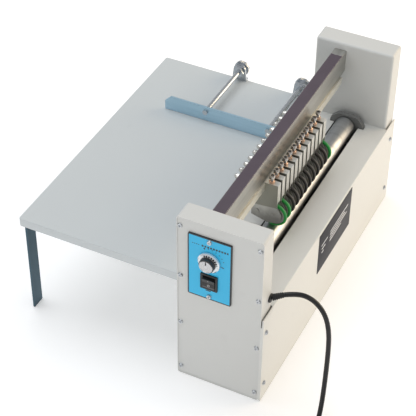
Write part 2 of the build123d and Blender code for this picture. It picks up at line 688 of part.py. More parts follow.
with BuildPart() as speed_controller:
    with BuildSketch(facing_near(-controller_back)):
        with Locations((PANEL_X, panel_z)):
            Rectangle(controller_width, controller_height)
    extrude(amount=CONTROLLER_DEPTH)
    with BuildSketch(facing_near(-controller_back - PLATE)):
        with Locations((PANEL_X, panel_z)):
            Rectangle(controller_width - 2 * PLATE, controller_height - 2 * PLATE)
    extrude(amount=CONTROLLER_DEPTH, mode=Mode.SUBTRACT)
    rod_along_y(PANEL_X, dial_z, -controller_back - PLATE, -plate_face + 4.0, 8.0)
    rod_along_y(PANEL_X, dial_z, -plate_face + 4.0, -panel_face - POT_REACH, POT_RADIUS)
save(speed_controller.part, "speed_controller")

with BuildPart() as speed_knob:
    skirt_back = -panel_face - DIAL_GAP
    rod_along_y(PANEL_X, dial_z, skirt_back - SKIRT, skirt_back, DIAL_RADIUS)
    chamfer(speed_knob.edges().filter_by(GeomType.CIRCLE).group_by(Axis.Y)[0], 2.0)
    rod_along_y(PANEL_X, dial_z, skirt_back - SKIRT - GRIP, skirt_back - SKIRT, GRIP_RADIUS)
    chamfer(speed_knob.edges().filter_by(GeomType.CIRCLE).group_by(Axis.Y)[0], 1.0)
    with BuildSketch(facing_near(skirt_back - SKIRT)):
        with Locations((PANEL_X, dial_z)):
            with PolarLocations(GRIP_RADIUS + 0.8, FLUTES):
                Circle(FLUTE_RADIUS)
    extrude(amount=GRIP, mode=Mode.SUBTRACT)
    rod_along_y(PANEL_X, dial_z, skirt_back - POT_REACH, skirt_back, POT_RADIUS + RUN_CLEARANCE,
                Mode.SUBTRACT)
save(speed_knob.part, "speed_knob")

SWITCH_DEPTH = 14.0
BEZEL = 2.0
rocker_y = -panel_face + 1.2

with BuildPart() as switch_housing:
    with BuildSketch(facing_near(-panel_face)):
        with Locations((PANEL_X, switch_z)):
            RectangleRounded(SWITCH_WIDTH + 2.0, SWITCH_HEIGHT + 2.0, 1.0)
    extrude(amount=BEZEL)
    with BuildSketch(facing_near(-panel_face + SWITCH_DEPTH)):
        with Locations((PANEL_X, switch_z)):
            Rectangle(body_width, body_height)
    extrude(amount=SWITCH_DEPTH)
    with BuildSketch(facing_near(-panel_face + SWITCH_DEPTH - 1.5)):
        with Locations((PANEL_X, switch_z)):
            Rectangle(opening_width, opening_height)
    extrude(amount=SWITCH_DEPTH + BEZEL, mode=Mode.SUBTRACT)
    rod_along_x(rocker_y, switch_z, PANEL_X - opening_width / 2 - 1.5, PANEL_X + opening_width / 2 + 1.5,
                1.5 + RUN_CLEARANCE, Mode.SUBTRACT)
save(switch_housing.part, "switch_housing")

with BuildPart() as switch_rocker:
    half_width = opening_width / 2 - 0.5
    with BuildSketch(Plane(origin=(PANEL_X - half_width, rocker_y, switch_z), x_dir=(0, 1, 0),
                           z_dir=(1, 0, 0)).rotated((ROCKER_TILT / 2, 0, 0))):
        with BuildLine():
            Polyline((1.5, -8.8), (-5.6, -8.8), (-3.9, 0), (-5.6, 8.8), (1.5, 8.8), close=True)
        make_face()
    extrude(amount=2 * half_width)
    rod_along_x(rocker_y, switch_z, PANEL_X - opening_width / 2 - 1.2, PANEL_X + opening_width / 2 + 1.2,
                1.5)
save(switch_rocker.part, "switch_rocker")

# Side guide: a flat bar on edge, carried by two rods that slide in brackets on the table's far edge
guide_from = table_edge + GUIDE_START
guide_low = table_z + GUIDE_GAP

with BuildPart() as side_guide:
    with BuildSketch(facing_near(GUIDE_Y + GUIDE_THICK)):
        with BuildLine():
            Polyline((guide_from, guide_low), (guide_from + GUIDE_LENGTH, guide_low),
                     (guide_from + GUIDE_LENGTH, guide_low + GUIDE_HEIGHT),
                     (guide_from + 10.0, guide_low + GUIDE_HEIGHT),
                     (guide_from, guide_low + GUIDE_HEIGHT - 10.0), close=True)
        make_face()
    extrude(amount=GUIDE_THICK)
    for x in rod_xs:
        rod_along_y(x, rod_z, GUIDE_Y, GUIDE_Y + GUIDE_THICK, 2.5, Mode.SUBTRACT)
save(side_guide.part, "side_guide")

bracket_plate_y = table_far - 5.0
HEX_BUSH = 5.0
KNOB_LENGTH = 11.0
KNOB_NECK = 5.0
knob_start = bracket_plate_y + BRACKET_PLATE + 0.3
rod_end = knob_start + KNOB_LENGTH + 1.0

with BuildPart() as guide_rods:
    for x in rod_xs:
        rod_along_y(x, rod_z, GUIDE_Y + GUIDE_THICK, rod_end, ROD_RADIUS)
        rod_along_y(x, rod_z, GUIDE_Y, GUIDE_Y + GUIDE_THICK, 2.5)
        rod_along_y(x, rod_z, GUIDE_Y - 2.6, GUIDE_Y, 4.4)
save(guide_rods.part, "guide_rods")

with BuildPart() as rod_bracket:
    foot_z = table_z - TABLE_LIP + 1.0
    with BuildSketch(facing_near(bracket_plate_y + BRACKET_PLATE)) as tab:
        with BuildLine():
            Polyline((-13.0, table_z), (13.0, table_z), (10.0, rod_z + 9.0), (-10.0, rod_z + 9.0),
                     close=True)
        make_face()
        fillet(tab.vertices().group_by(Axis.Z)[-1], 4.0)
    extrude(amount=BRACKET_PLATE)
    block(-13.0, 13.0, bracket_plate_y, table_far + BRACKET_PLATE, table_z, table_z + BRACKET_PLATE)
    block(-13.0, 13.0, table_far, table_far + BRACKET_PLATE, foot_z, table_z)
    with BuildSketch(facing_near(bracket_plate_y)):
        with Locations((0, rod_z)):
            RegularPolygon(8.0, 6, major_radius=False)
    extrude(amount=HEX_BUSH)
    rod_along_y(0, rod_z, bracket_plate_y - HEX_BUSH, bracket_plate_y + BRACKET_PLATE,
                ROD_RADIUS + RUN_CLEARANCE, Mode.SUBTRACT)

with BuildPart() as rod_brackets:
    with Locations([(x, 0, 0) for x in rod_xs]):
        add(rod_bracket.part)
save(rod_brackets.part, "rod_brackets")

# Lock knobs: stepped and knurled, one on each rod
with BuildPart() as lock_knob:
    rod_along_y(0, rod_z, knob_start, knob_start + KNOB_NECK, KNOB_RADIUS - 3.0)
    rod_along_y(0, rod_z, knob_start + KNOB_NECK, knob_start + KNOB_LENGTH, KNOB_RADIUS)
    chamfer(lock_knob.edges().filter_by(GeomType.CIRCLE).group_by(Axis.Y)[-1], 1.0)
    with BuildSketch(facing_near(knob_start + KNOB_LENGTH)):
        with Locations((0, rod_z)):
            with PolarLocations(KNOB_RADIUS + 0.3, 36):
                Rectangle(1.4, 1.0, rotation=45)
    extrude(amount=KNOB_LENGTH - KNOB_NECK, mode=Mode.SUBTRACT)
    rod_along_y(0, rod_z, knob_start, knob_start + KNOB_LENGTH, ROD_RADIUS + RUN_CLEARANCE, Mode.SUBTRACT)

for name, x in (("lock_knob_outer", rod_xs[0]), ("lock_knob_inner", rod_xs[1])):
    with BuildPart() as placed:
        with Locations((x, 0, 0)):
            add(lock_knob.part)
    save(placed.part, name)

# Pan-head screws of the covers and the panel, and the hexagon screws that hold the beam
HEAD_RADIUS = 3.9
HEAD_HEIGHT = 2.4


def pan_screw(start, direction, shank):
    """Pan-head screw whose head sits on start and points along direction."""
    seat = Plane(origin=start, z_dir=direction)
    with BuildSketch(seat) as profile:
        Circle(HEAD_RADIUS)
    extrude(profile.sketch, amount=HEAD_HEIGHT, taper=20)
    with BuildSketch(seat.offset(HEAD_HEIGHT)) as profile:
        Rectangle(4.4, 0.9)
        Rectangle(0.9, 4.4)
    extrude(profile.sketch, amount=-1.2, mode=Mode.SUBTRACT)
    with BuildSketch(seat) as profile:
        Circle(2.0)
    extrude(profile.sketch, amount=-shank)


with BuildPart() as frame_screws:
    for sign in (-1, 1):
        for x in screw_xs:
            for z in screw_zs:
                pan_screw((x, sign * plate_face, z), (0, sign, 0), PLATE + SHEET + 2.0)
        for z in (beam_bottom + BEAM_SCREW_INSET, beam_top - BEAM_SCREW_INSET):
            rod_along_y(BEAM_X, z, sign * (inner_y - 14.0), sign * (inner_y + SHEET), 3.0)
            rod_along_y(BEAM_X, z, sign * (inner_y + SHEET), sign * (inner_y + SHEET + 4.0), 5.0)
    for y, z in cover_screws:
        pan_screw((cover_face, y, z), (1, 0, 0), COVER_GAP + COVER_SHEET)
    for z in panel_screw_zs:
        pan_screw((PANEL_X, -panel_face, z), (0, -1, 0), PANEL_THICK + PLATE)
save(frame_screws.part, "frame_screws")

# Strain relief, mains cord, put-away coil and plug
gland_turn = math.radians(GLAND_TURN)
gland_direction = Vector(math.cos(gland_turn), math.sin(gland_turn), GLAND_SLOPE).normalized()
gland_base = Vector(side_x, gland_y, gland_z)
gland_foot = gland_base + gland_direction * 3.3
gland_end = gland_base + gland_direction * GLAND_LENGTH

with BuildPart() as cable_gland:
    with BuildSketch(Plane(origin=gland_foot, z_dir=gland_direction)):
        Circle(GLAND_RADIUS)
    with BuildSketch(Plane(origin=gland_end, z_dir=gland_direction)):
        Circle(CORD_DIAMETER / 2 + 0.4)
    loft()
    rod_along_x(gland_y, gland_z, side_x, side_x + 2.4, GLAND_RADIUS + 2.0)
    rod_along_x(gland_y, gland_z, side_x - 4.0, side_x, GLAND_RADIUS)
save(cable_gland.part, "cable_gland")

COIL_CENTRE = (118.0, -372.0)
COIL_LIFT = 0.1
coil_width = COIL_WIDE * CORD_DIAMETER
coil_height = COIL_HIGH * CORD_DIAMETER
coil_top = coil_height + COIL_LIFT
coil_entry_x = COIL_CENTRE[0] + COIL_TURN_RADIUS + (coil_width - CORD_DIAMETER) / 2
CORD_ROUTE = [
    (98.8, -212.4, 190.0),
    (117.0, -208.0, 184.2),
    (131.5, -207.2, 172.0),
    (141.8, -208.5, 155.0),
    (147.8, -211.5, 133.0),
    (151.0, -217.0, 108.0),
    (153.5, -225.0, 80.5),
    (156.5, -236.5, 51.5),
    (160.0, -252.0, 26.0),
    (163.0, -273.0, 9.0),
    (164.8, -298.0, 3.8),
    (165.2, -322.0, 3.7),
    (coil_entry_x, -341.0, 3.7),
]
cord_points = [gland_end] + [Vector(*point) for point in CORD_ROUTE] + [
    Vector(coil_entry_x, COIL_CENTRE[1] + 19.0, 3.7)]

cord_radii = []
for before, corner, after in zip(cord_points, cord_points[1:], cord_points[2:]):
    turn = (corner - before).get_angle(after - corner)
    shorter = min((corner - before).length, (after - corner).length)
    cord_radii.append(0.45 * shorter / math.tan(math.radians(turn) / 2))
print("cord radii:", [round(radius, 1) for radius in cord_radii])

with BuildPart() as power_cord:
    with BuildLine() as route:
        FilletPolyline(*cord_points, radius=cord_radii)
    with BuildSketch(Plane(origin=route.line @ 0, z_dir=route.line % 0)):
        Circle(CORD_DIAMETER / 2)
    sweep()
cord_length = sum(edge.length for edge in route.edges())
cord_section = math.pi * CORD_DIAMETER**2 / 4
print("cord length:", round(cord_length, 1), "volume over section:",
      round(power_cord.part.volume / cord_section, 1))
save(power_cord.part, "power_cord")

with BuildPart() as cord_coil:
    with BuildSketch(Plane(origin=(*COIL_CENTRE, 0), x_dir=(1, 0, 0), z_dir=(0, -1, 0))):
        with Locations((COIL_TURN_RADIUS, coil_height / 2 + COIL_LIFT)):
            RectangleRounded(coil_width, coil_height, CORD_DIAMETER / 2 - COIL_LIFT)
    revolve(axis=Axis((*COIL_CENTRE, 0), (0, 0, 1)))
save(cord_coil.part, "cord_coil")
print("coil turns' length:", round(COIL_WIDE * COIL_HIGH * 2 * math.pi * COIL_TURN_RADIUS, 1))

# Plug: a moulded two-pin plug that lies on top of the coil
PLUG_TAIL = 16.0
PLUG_BODY = 30.0
PLUG_SIZE = 17.0
PIN_LENGTH = 19.0
PIN_SPACING = 9.0
plug_start = COIL_CENTRE[0] + 10.0
plug_y = COIL_CENTRE[1] - COIL_TURN_RADIUS
plug_z = coil_top + PLUG_SIZE / 2
body_start = plug_start - PLUG_TAIL
body_end = body_start - PLUG_BODY

with BuildPart() as mains_plug:
    with BuildSketch(facing_outlet(body_end)):
        with Locations((plug_y, plug_z)):
            RectangleRounded(PLUG_SIZE, PLUG_SIZE, 5.0)
    extrude(amount=PLUG_BODY)
    rod_along_x(plug_y, plug_z, body_start, plug_start, CORD_DIAMETER / 2 + 1.5)
    for y in (plug_y - PIN_SPACING / 2, plug_y + PIN_SPACING / 2):
        rod_along_x(y, plug_z, body_end - PIN_LENGTH, body_end, 2.0)
save(mains_plug.part, "mains_plug")
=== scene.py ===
import math

import bmesh
import bpy
from mathutils import Matrix, Vector


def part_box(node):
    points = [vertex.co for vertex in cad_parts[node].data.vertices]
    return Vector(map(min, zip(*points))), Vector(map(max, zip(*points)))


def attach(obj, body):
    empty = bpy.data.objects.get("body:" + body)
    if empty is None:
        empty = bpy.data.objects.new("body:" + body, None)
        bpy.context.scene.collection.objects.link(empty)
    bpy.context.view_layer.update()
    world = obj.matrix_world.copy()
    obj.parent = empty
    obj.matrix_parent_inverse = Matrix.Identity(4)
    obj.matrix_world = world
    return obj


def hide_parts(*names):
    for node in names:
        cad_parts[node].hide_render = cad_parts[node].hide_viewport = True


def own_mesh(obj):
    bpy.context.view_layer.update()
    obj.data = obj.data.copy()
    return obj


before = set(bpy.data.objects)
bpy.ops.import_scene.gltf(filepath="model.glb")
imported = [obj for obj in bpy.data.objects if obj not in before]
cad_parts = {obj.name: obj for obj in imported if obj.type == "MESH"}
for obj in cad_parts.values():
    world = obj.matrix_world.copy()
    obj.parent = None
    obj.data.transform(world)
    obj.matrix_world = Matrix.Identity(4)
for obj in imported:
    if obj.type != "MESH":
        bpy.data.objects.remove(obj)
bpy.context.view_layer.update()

# Camera: stands off the near corner on the outlet side, above the machine, and looks down across it.
# A long lens, so the housings stay nearly square.
CAMERA_PLACE = (0.5603, -1.4544, 1.4734)
CAMERA_TURN = math.radians(25.83)
CAMERA_PITCH = math.radians(-40.59)
CAMERA_ROLL = math.radians(0.60)
LENS = 115.5

camera_data = bpy.data.cameras.new("camera")
camera_data.lens = LENS
camera = bpy.data.objects.new("camera", camera_data)
bpy.context.scene.collection.objects.link(camera)
camera.matrix_world = (
    Matrix.Translation(CAMERA_PLACE)
    @ Matrix.Rotation(CAMERA_TURN, 4, "Z")
    @ Matrix.Rotation(math.pi / 2 + CAMERA_PITCH, 4, "X")
    @ Matrix.Rotation(CAMERA_ROLL, 4, "Z")
)
bpy.context.scene.camera = camera


class Value:
    """A number that varies over a surface; sums written with it become Math nodes of its finish."""

    def __init__(self, finish, socket):
        self.finish = finish
        self.socket = socket

    def __add__(self, other):
        return self.finish.sum("ADD", self, other)

    def __sub__(self, other):
        return self.finish.sum("SUBTRACT", self, other)

    def __rsub__(self, other):
        return self.finish.sum("SUBTRACT", other, self)

    def __mul__(self, other):
        return self.finish.sum("MULTIPLY", self, other)

    def __truediv__(self, other):
        return self.finish.sum("DIVIDE", self, other)

    def __pow__(self, other):
        return self.finish.sum("POWER", self, other)

    def __gt__(self, other):
        return self.finish.sum("GREATER_THAN", self, other)

    def __lt__(self, other):
        return self.finish.sum("LESS_THAN", self, other)

    def __mod__(self, other):
        return self.finish.sum("FLOORED_MODULO", self, other)

    def __abs__(self):
        return self.finish.sum("ABSOLUTE", self)

    __radd__ = __add__


class Finish:
    """A surface finish: one Principled shader and the nodes that feed it, in the machine's own metres."""

    def __init__(self, name, **settings):
        self.material = bpy.data.materials.new(name)
        self.material.use_nodes = True
        self.tree = self.material.node_tree
        self.shader = self.tree.nodes["Principled BSDF"]
        for socket, value in settings.items():
            self.shader.inputs[socket.replace("_", " ")].default_value = value
        self.place = self.node("ShaderNodeTexCoord", output="Object")
        self.x, self.y, self.z = [
            self.node("ShaderNodeSeparateXYZ", inputs={"Vector": self.place}, output=axis) for axis in "XYZ"
        ]

    def node(self, kind, settings=(), inputs=(), output=0):
        made = self.tree.nodes.new(kind)
        for setting, value in dict(settings).items():
            setattr(made, setting, value)
        for socket, value in dict(inputs).items():
            target = made.inputs[socket]
            if isinstance(value, Value):
                self.tree.links.new(value.socket, target)
            elif target.type == "RGBA":
                target.default_value = (*value, 1.0)
            else:
                target.default_value = value
        return Value(self, made.outputs[output])

    def sum(self, operation, first, second=0.0):
        return self.node("ShaderNodeMath", {"operation": operation}, {0: first, 1: second})

    def noise(self, scale, stretch=(1, 1, 1), detail=3.0):
        """Cloudy value about 0.5, its cells 1/scale metres across, squeezed along each axis by stretch."""
        place = self.node("ShaderNodeVectorMath", {"operation": "MULTIPLY"}, {0: self.place, 1: stretch})
        inputs = {"Vector": place, "Scale": scale, "Detail": detail}
        return self.node("ShaderNodeTexNoise", {}, inputs, "Fac")

    def between(self, value, low, high):
        """0 below low, 1 above high, and smooth from one to the other."""
        settings = {"interpolation_type": "SMOOTHSTEP"}
        return self.node("ShaderNodeMapRange", settings, {0: value, 1: low, 2: high})

    def edges(self, width):
        """1 along corners and folded edges, where a rounded normal leans away from the face's own."""
        rounded = self.node("ShaderNodeBevel", {"samples": 4}, {"Radius": width})
        flat = self.node("ShaderNodeNewGeometry", output="Normal")
        both = {0: rounded, 1: flat}
        lean = self.node("ShaderNodeVectorMath", {"operation": "DOT_PRODUCT"}, both, "Value")
        return self.between(lean, 0.995, 0.90)

    def mix(self, share, first, second):
        return self.node("ShaderNodeMix", {"data_type": "RGBA"}, {0: share, 6: first, 7: second}, 2)

    def feed(self, **sockets):
        for socket, value in sockets.items():
            self.tree.links.new(value.socket, self.shader.inputs[socket.replace("_", " ")])

    def bump(self, height, depth):
        """Raise the surface by up to depth metres where height is 1."""
        self.feed(Normal=self.node("ShaderNodeBump", {}, {"Height": height, "Distance": depth}))

    def on(self, *names):
        """Put the finish on the machine's own parts."""
        for name in names:
            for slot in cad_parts[name].material_slots:
                slot.material = self.material


# Floor: a plain pale sheet under the machine, with faint clouding.
# It isn't part of the machine.
FLOOR_SIZE = 9.0
FLOOR_DROP = -0.0004

floor_finish = Finish("floor", Roughness=0.75, Specular_IOR_Level=0.2, Emission_Strength=0.30)
pale = floor_finish.mix(floor_finish.noise(3.0), (0.90, 0.90, 0.90), (0.94, 0.94, 0.94))
floor_finish.feed(Base_Color=pale, Emission_Color=pale)
bpy.ops.object.select_all(action="DESELECT")
bpy.ops.mesh.primitive_plane_add(size=FLOOR_SIZE, location=(0, 0, FLOOR_DROP))
floor = bpy.context.object
floor.name = "floor"
floor.data.materials.append(floor_finish.material)

# Studio light: a cool softbox overhead on the table side, a warm one low behind the outlet side, a weak
# one in front, and an even pale surround.
LIGHTS = (
    ("overhead", (-0.9, 0.2, 2.6), 2.2, 35.0, (0.94, 0.97, 1.0)),
    ("outlet_side", (2.1, 1.9, 1.0), 2.2, 56.0, (1.0, 0.81, 0.56)),
    ("front", (-0.3, -2.8, 1.0), 2.0, 12.0, (1.0, 0.98, 0.95)),
)
SURROUND = 0.43

for name, place, size, power, colour in LIGHTS:
    light = bpy.data.lights.new(name, "AREA")
    light.size = size
    light.energy = power
    light.color = colour
    lamp = bpy.data.objects.new(name, light)
    bpy.context.scene.collection.objects.link(lamp)
    lamp.location = place
    lamp.rotation_euler = (Vector((0, 0, 0.15)) - Vector(place)).to_track_quat("-Z", "Y").to_euler()
world = bpy.data.worlds.new("surround")
world.use_nodes = True
world.node_tree.nodes["Background"].inputs["Color"].default_value = (0.97, 0.98, 1.0, 1.0)
world.node_tree.nodes["Background"].inputs["Strength"].default_value = SURROUND
bpy.context.scene.world = world
bpy.context.scene.view_settings.view_transform = "Standard"


# Mains cord: black PVC flex, 7.2 mm thick. It leaves the near housing, arches over the outlet cover,
# drops to the floor and is put away as six tied turns with the plug lying on top.
CORD = 0.0072
CORD_ROUTE = [
    (0.08174, -0.22194, 0.18832),
    (0.0988, -0.2124, 0.1900),
    (0.1170, -0.2080, 0.1842),
    (0.1315, -0.2072, 0.1720),
    (0.1418, -0.2085, 0.1550),
    (0.1478, -0.2115, 0.1330),
    (0.1510, -0.2170, 0.1080),
    (0.1535, -0.2250, 0.0805),
    (0.1565, -0.2365, 0.0515),
    (0.1600, -0.2520, 0.0260),
    (0.1630, -0.2730, 0.0090),
    (0.1648, -0.2980, 0.0038),
    (0.1652, -0.3220, 0.0037),
    (0.1648, -0.3410, 0.0037),
    (0.1648, -0.3550, 0.0037),
]
COIL_CENTRE = Vector((0.118, -0.372, 0.0))
LANES = (0.0468, 0.0396, 0.0324, 0.0324, 0.0396, 0.0468)
TURN_POINTS = 18
FLOOR_LANE = 0.0037
LAST_TURN = (
    (0, 0.0468, 0.0181),
    (-20, 0.0462, 0.0186),
    (-40, 0.0447, 0.0202),
    (-58, 0.0426, 0.0222),
)
PLUG_TAIL = Vector((0.128, -0.4116, 0.0230))
PLUG_RUN_IN = Vector((0.009, 0.0012, 0.0))


def eased(share, start, end):
    """0 before start, 1 after end, and a smooth step between."""
    share = min(max((share - start) / (end - start), 0.0), 1.0)
    return share * share * (3 - 2 * share)


coil_points = []
lane_swell = 0.75 + 0.25 * math.cos(2 * math.pi / TURN_POINTS)
for turn, lane in enumerate(LANES):
    next_lane = LANES[min(turn + 1, len(LANES) - 1)]
    layer = FLOOR_LANE + (CORD if turn > 2 else 0.0)
    for step in range(TURN_POINTS):
        share = step / TURN_POINTS
        radius = lane + (next_lane - lane) * eased(share, 0.66, 0.95)
        rise = CORD * eased(share, 0.36, 0.62) if turn in (2, 5) else 0.0
        angle = -2 * math.pi * share
        around = Vector((math.cos(angle), math.sin(angle), 0.0)) * radius / lane_swell
        coil_points.append(COIL_CENTRE + around + Vector((0, 0, layer + rise)))
for degrees, radius, height in LAST_TURN:
    angle = math.radians(degrees)
    coil_points.append(COIL_CENTRE + Vector((math.cos(angle) * radius, math.sin(angle) * radius, height)))
coil_points.append(PLUG_TAIL + PLUG_RUN_IN)
coil_points.append(PLUG_TAIL)

cord_line = bpy.data.curves.new("mains_cord", "CURVE")
cord_line.dimensions = "3D"
cord_line.bevel_depth = CORD / 2
cord_line.bevel_resolution = 5
cord_line.use_fill_caps = True
spline = cord_line.splines.new("NURBS")
cord_points = [Vector(point) for point in CORD_ROUTE] + coil_points
spline.points.add(len(cord_points) - 1)
for point, place in zip(spline.points, cord_points):
    point.co = (*place, 1.0)
spline.order_u = 3
spline.use_endpoint_u = True
spline.resolution_u = 6
cord = bpy.data.objects.new("mains_cord", cord_line)
bpy.context.scene.collection.objects.link(cord)

flex = Finish("black_flex", Specular_IOR_Level=0.45)
scuffs = flex.between(flex.noise(60.0, detail=5.0), 0.52, 0.72)
flex.feed(
    Base_Color=flex.mix(scuffs * 0.5, (0.009, 0.009, 0.010), (0.035, 0.035, 0.036)),
    Roughness=0.34 + scuffs * 0.22,
)
flex.bump(flex.noise(1400.0), 0.00003)
cord_line.materials.append(flex.material)
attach(cord, "root")
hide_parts("power_cord", "cord_coil")

# Tie: a flat black strap round the six turns.
# It is bent from soft strip 0.5 mm thick.
TIE_HALF = Vector((0.0117, 0.0030, 0.0067))
TIE_STRIP = 0.0005
TIE_CORNER = 0.0032
tie_at = COIL_CENTRE + Vector((-LANES[1], 0, FLOOR_LANE + CORD / 2))


def slab(name, low, high, bevel, segments=2):
    """A block between two corners with rounded edges."""
    bpy.ops.object.select_all(action="DESELECT")
    low, high = Vector(low), Vector(high)
    bpy.ops.mesh.primitive_cube_add(size=1, location=(low + high) / 2)
    piece = bpy.context.object
    piece.name = name
    piece.scale = high - low
    bpy.ops.object.transform_apply(location=True, rotation=True, scale=True)
    bpy.ops.object.mode_set(mode="EDIT")
    bpy.ops.mesh.bevel(offset=bevel, segments=segments, affect="EDGES")
    bpy.ops.object.mode_set(mode="OBJECT")
    return piece


def stand(piece, matrix, finish, body):
    """Set a finished piece in its place, give it its finish and let it ride on its body."""
    piece.data.transform(matrix)
    piece.data.materials.clear()
    piece.data.materials.append(finish.material)
    bpy.ops.object.select_all(action="DESELECT")
    bpy.context.view_layer.objects.active = piece
    piece.select_set(True)
    bpy.ops.object.shade_smooth_by_angle(angle=math.radians(32))
    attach(piece, body)
    return piece


tie = slab("coil_tie", tie_at - TIE_HALF, tie_at + TIE_HALF, 0.0001, 1)
bpy.ops.object.mode_set(mode="EDIT")
strap = bmesh.from_edit_mesh(tie.data)
bpy.ops.mesh.select_all(action="DESELECT")
for face in strap.faces:
    face.select = abs(face.normal.y) > 0.5
bmesh.update_edit_mesh(tie.data)
bpy.ops.mesh.delete(type="FACE")
strap = bmesh.from_edit_mesh(tie.data)
for edge in strap.edges:
    along = edge.verts[0].co - edge.verts[1].co
    edge.select = abs(along.y) > 0.004
bmesh.update_edit_mesh(tie.data)
bpy.ops.mesh.bevel(offset=TIE_CORNER, segments=4, affect="EDGES")
bpy.ops.object.mode_set(mode="OBJECT")
wall = tie.modifiers.new("wall", "SOLIDIFY")
wall.thickness = TIE_STRIP
wall.offset = 1.0
bpy.ops.object.modifier_apply(modifier="wall")
stand(tie, Matrix.Identity(4), flex, "root")

# Strain relief: a black moulded bush, flanged against the housing wall and tapered along the cord,
# with grooves round it so that it bends.
GLAND_DIRECTION = Vector((math.cos(math.radians(31)), math.sin(math.radians(31)), 0.22)).normalized()
GLAND_LENGTH = 0.020
GLAND_FOOT = 0.0030
GLAND_RADIUS = 0.0050
GLAND_RIBS = 6
gland_end = Vector(CORD_ROUTE[0])
gland_base = gland_end - GLAND_DIRECTION * GLAND_LENGTH
rib_step = (GLAND_LENGTH - GLAND_FOOT) / GLAND_RIBS


def turned(name, profile, segments=32):
    """A piece turned round Z: a disc at the first (radius, height), drawn up through the other rings."""
    bpy.ops.object.select_all(action="DESELECT")
    (radius, height), rings = profile[0], profile[1:]
    bpy.ops.mesh.primitive_circle_add(vertices=segments, radius=radius, fill_type="NGON")
    piece = bpy.context.object
    piece.name = name
    bpy.ops.object.mode_set(mode="EDIT")
    bpy.ops.transform.translate(value=(0, 0, height))
    for next_radius, next_height in rings:
        bpy.ops.mesh.extrude_region_move(TRANSFORM_OT_translate={"value": (0, 0, next_height - height)})
        share = next_radius / radius
        bpy.ops.transform.resize(value=(share, share, 1), center_override=(0, 0, next_height))
        radius, height = next_radius, next_height
    bpy.ops.mesh.select_all(action="SELECT")
    bpy.ops.mesh.normals_make_consistent(inside=False)
    bpy.ops.object.mode_set(mode="OBJECT")
    return piece


taper = [(GLAND_RADIUS, GLAND_FOOT)]
for rib in range(GLAND_RIBS):
    rib_radius = GLAND_RADIUS - 0.0010 * rib / GLAND_RIBS
    rib_height = GLAND_FOOT + rib * rib_step
    taper += [
        (rib_radius, rib_height + rib_step * 0.55),
        (rib_radius - 0.0006, rib_height + rib_step * 0.62),
        (rib_radius - 0.0006, rib_height + rib_step * 0.92),
        (rib_radius - 0.0002, rib_height + rib_step),
    ]
boot = turned("strain_relief", taper)
along_gland = GLAND_DIRECTION.to_track_quat("Z", "Y").to_matrix().to_4x4()
boot.data.transform(Matrix.Translation(gland_base) @ along_gland)
flange = turned(
    "relief_flange", [(0.0068, 0.0), (0.0070, 0.0003), (0.0070, 0.0017), (0.0064, 0.0024), (0.0051, 0.0027)]
)
flange.data.transform(Matrix.Translation(gland_base) @ Matrix.Rotation(math.pi / 2, 4, "Y"))

moulded = Finish("black_moulding", Specular_IOR_Level=0.4)
moulded.feed(
    Base_Color=moulded.mix(moulded.noise(180.0), (0.010, 0.010, 0.011), (0.022, 0.022, 0.023)),
    Roughness=0.42 + moulded.noise(700.0) * 0.16,
)
moulded.bump(moulded.noise(2200.0), 0.00004)
for part in (boot, flange):
    stand(part, Matrix.Identity(4), moulded, "root")
    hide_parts("cable_gland")

# Plug: a moulded body with a ribbed tail and two round brass pins, nickel plated.
# It lies on the coil and points along the floor.
PLUG_HALF = 0.0085
PLUG_BODY = 0.030
PLUG_TAPER = 0.016
PLUG_RIBS = 5
PLUG_RIB_STEP = 0.0030
PLUG_PIN = 0.019
PIN_RADIUS = 0.0020
PIN_ASIDE = 0.0045
body_start = PLUG_TAIL.x - PLUG_TAPER
body_end = body_start - PLUG_BODY
towards_end = Matrix.Translation(PLUG_TAIL) @ Matrix.Rotation(-math.pi / 2, 4, "Y")

plug_body = slab(
    "plug_body",
    (body_end, PLUG_TAIL.y - PLUG_HALF, PLUG_TAIL.z - PLUG_HALF),
    (body_start + 0.0004, PLUG_TAIL.y + PLUG_HALF, PLUG_TAIL.z + PLUG_HALF),
    0.0034,
    4,
)
bpy.ops.object.mode_set(mode="EDIT")
grip = bmesh.from_edit_mesh(plug_body.data)
bpy.ops.mesh.select_all(action="DESELECT")
for face in grip.faces:
    face.select = abs(face.normal.y) > 0.99
bmesh.update_edit_mesh(plug_body.data)
bpy.ops.mesh.inset(thickness=0.0012)
bpy.ops.mesh.extrude_region_shrink_fatten(TRANSFORM_OT_shrink_fatten={"value": -0.0009})
bpy.ops.object.mode_set(mode="OBJECT")
stand(plug_body, Matrix.Identity(4), moulded, "root")

tail_rings = [(0.0040, -0.0002)]
for rib in range(PLUG_RIBS):
    start = 0.0005 + rib * PLUG_RIB_STEP
    tail_rings += [(0.0051, start), (0.0051, start + 0.0018)]
    tail_rings += [(0.0043, start + 0.0020), (0.0043, start + 0.0028)]
tail_rings.append((0.0060, 0.0166))
plug_tail = turned("plug_tail", tail_rings)
stand(plug_tail, towards_end, moulded, "root")

nickel = Finish("nickel_plate", Metallic=1.0)
tarnish = nickel.between(nickel.noise(420.0, detail=5.0), 0.45, 0.75)
nickel.feed(
    Base_Color=nickel.mix(tarnish, (0.74, 0.72, 0.68), (0.50, 0.47, 0.42)),
    Roughness=0.16 + tarnish * 0.22 + nickel.edges(0.0005) * 0.1,
)
nickel.bump(nickel.noise(1800.0), 0.00001)
for number, side in enumerate((-PIN_ASIDE, PIN_ASIDE), start=1):
    pin = turned(
        f"plug_pin_{number}",
        [
            (PIN_RADIUS, 0.0),
            (PIN_RADIUS, PLUG_PIN - 0.0012),
            (0.0016, PLUG_PIN - 0.0004),
            (0.0008, PLUG_PIN),
        ],
        20,
    )
    pin_start = Matrix.Translation(Vector((body_end, PLUG_TAIL.y + side, PLUG_TAIL.z)))
    stand(pin, pin_start @ Matrix.Rotation(-math.pi / 2, 4, "Y"), nickel, "root")
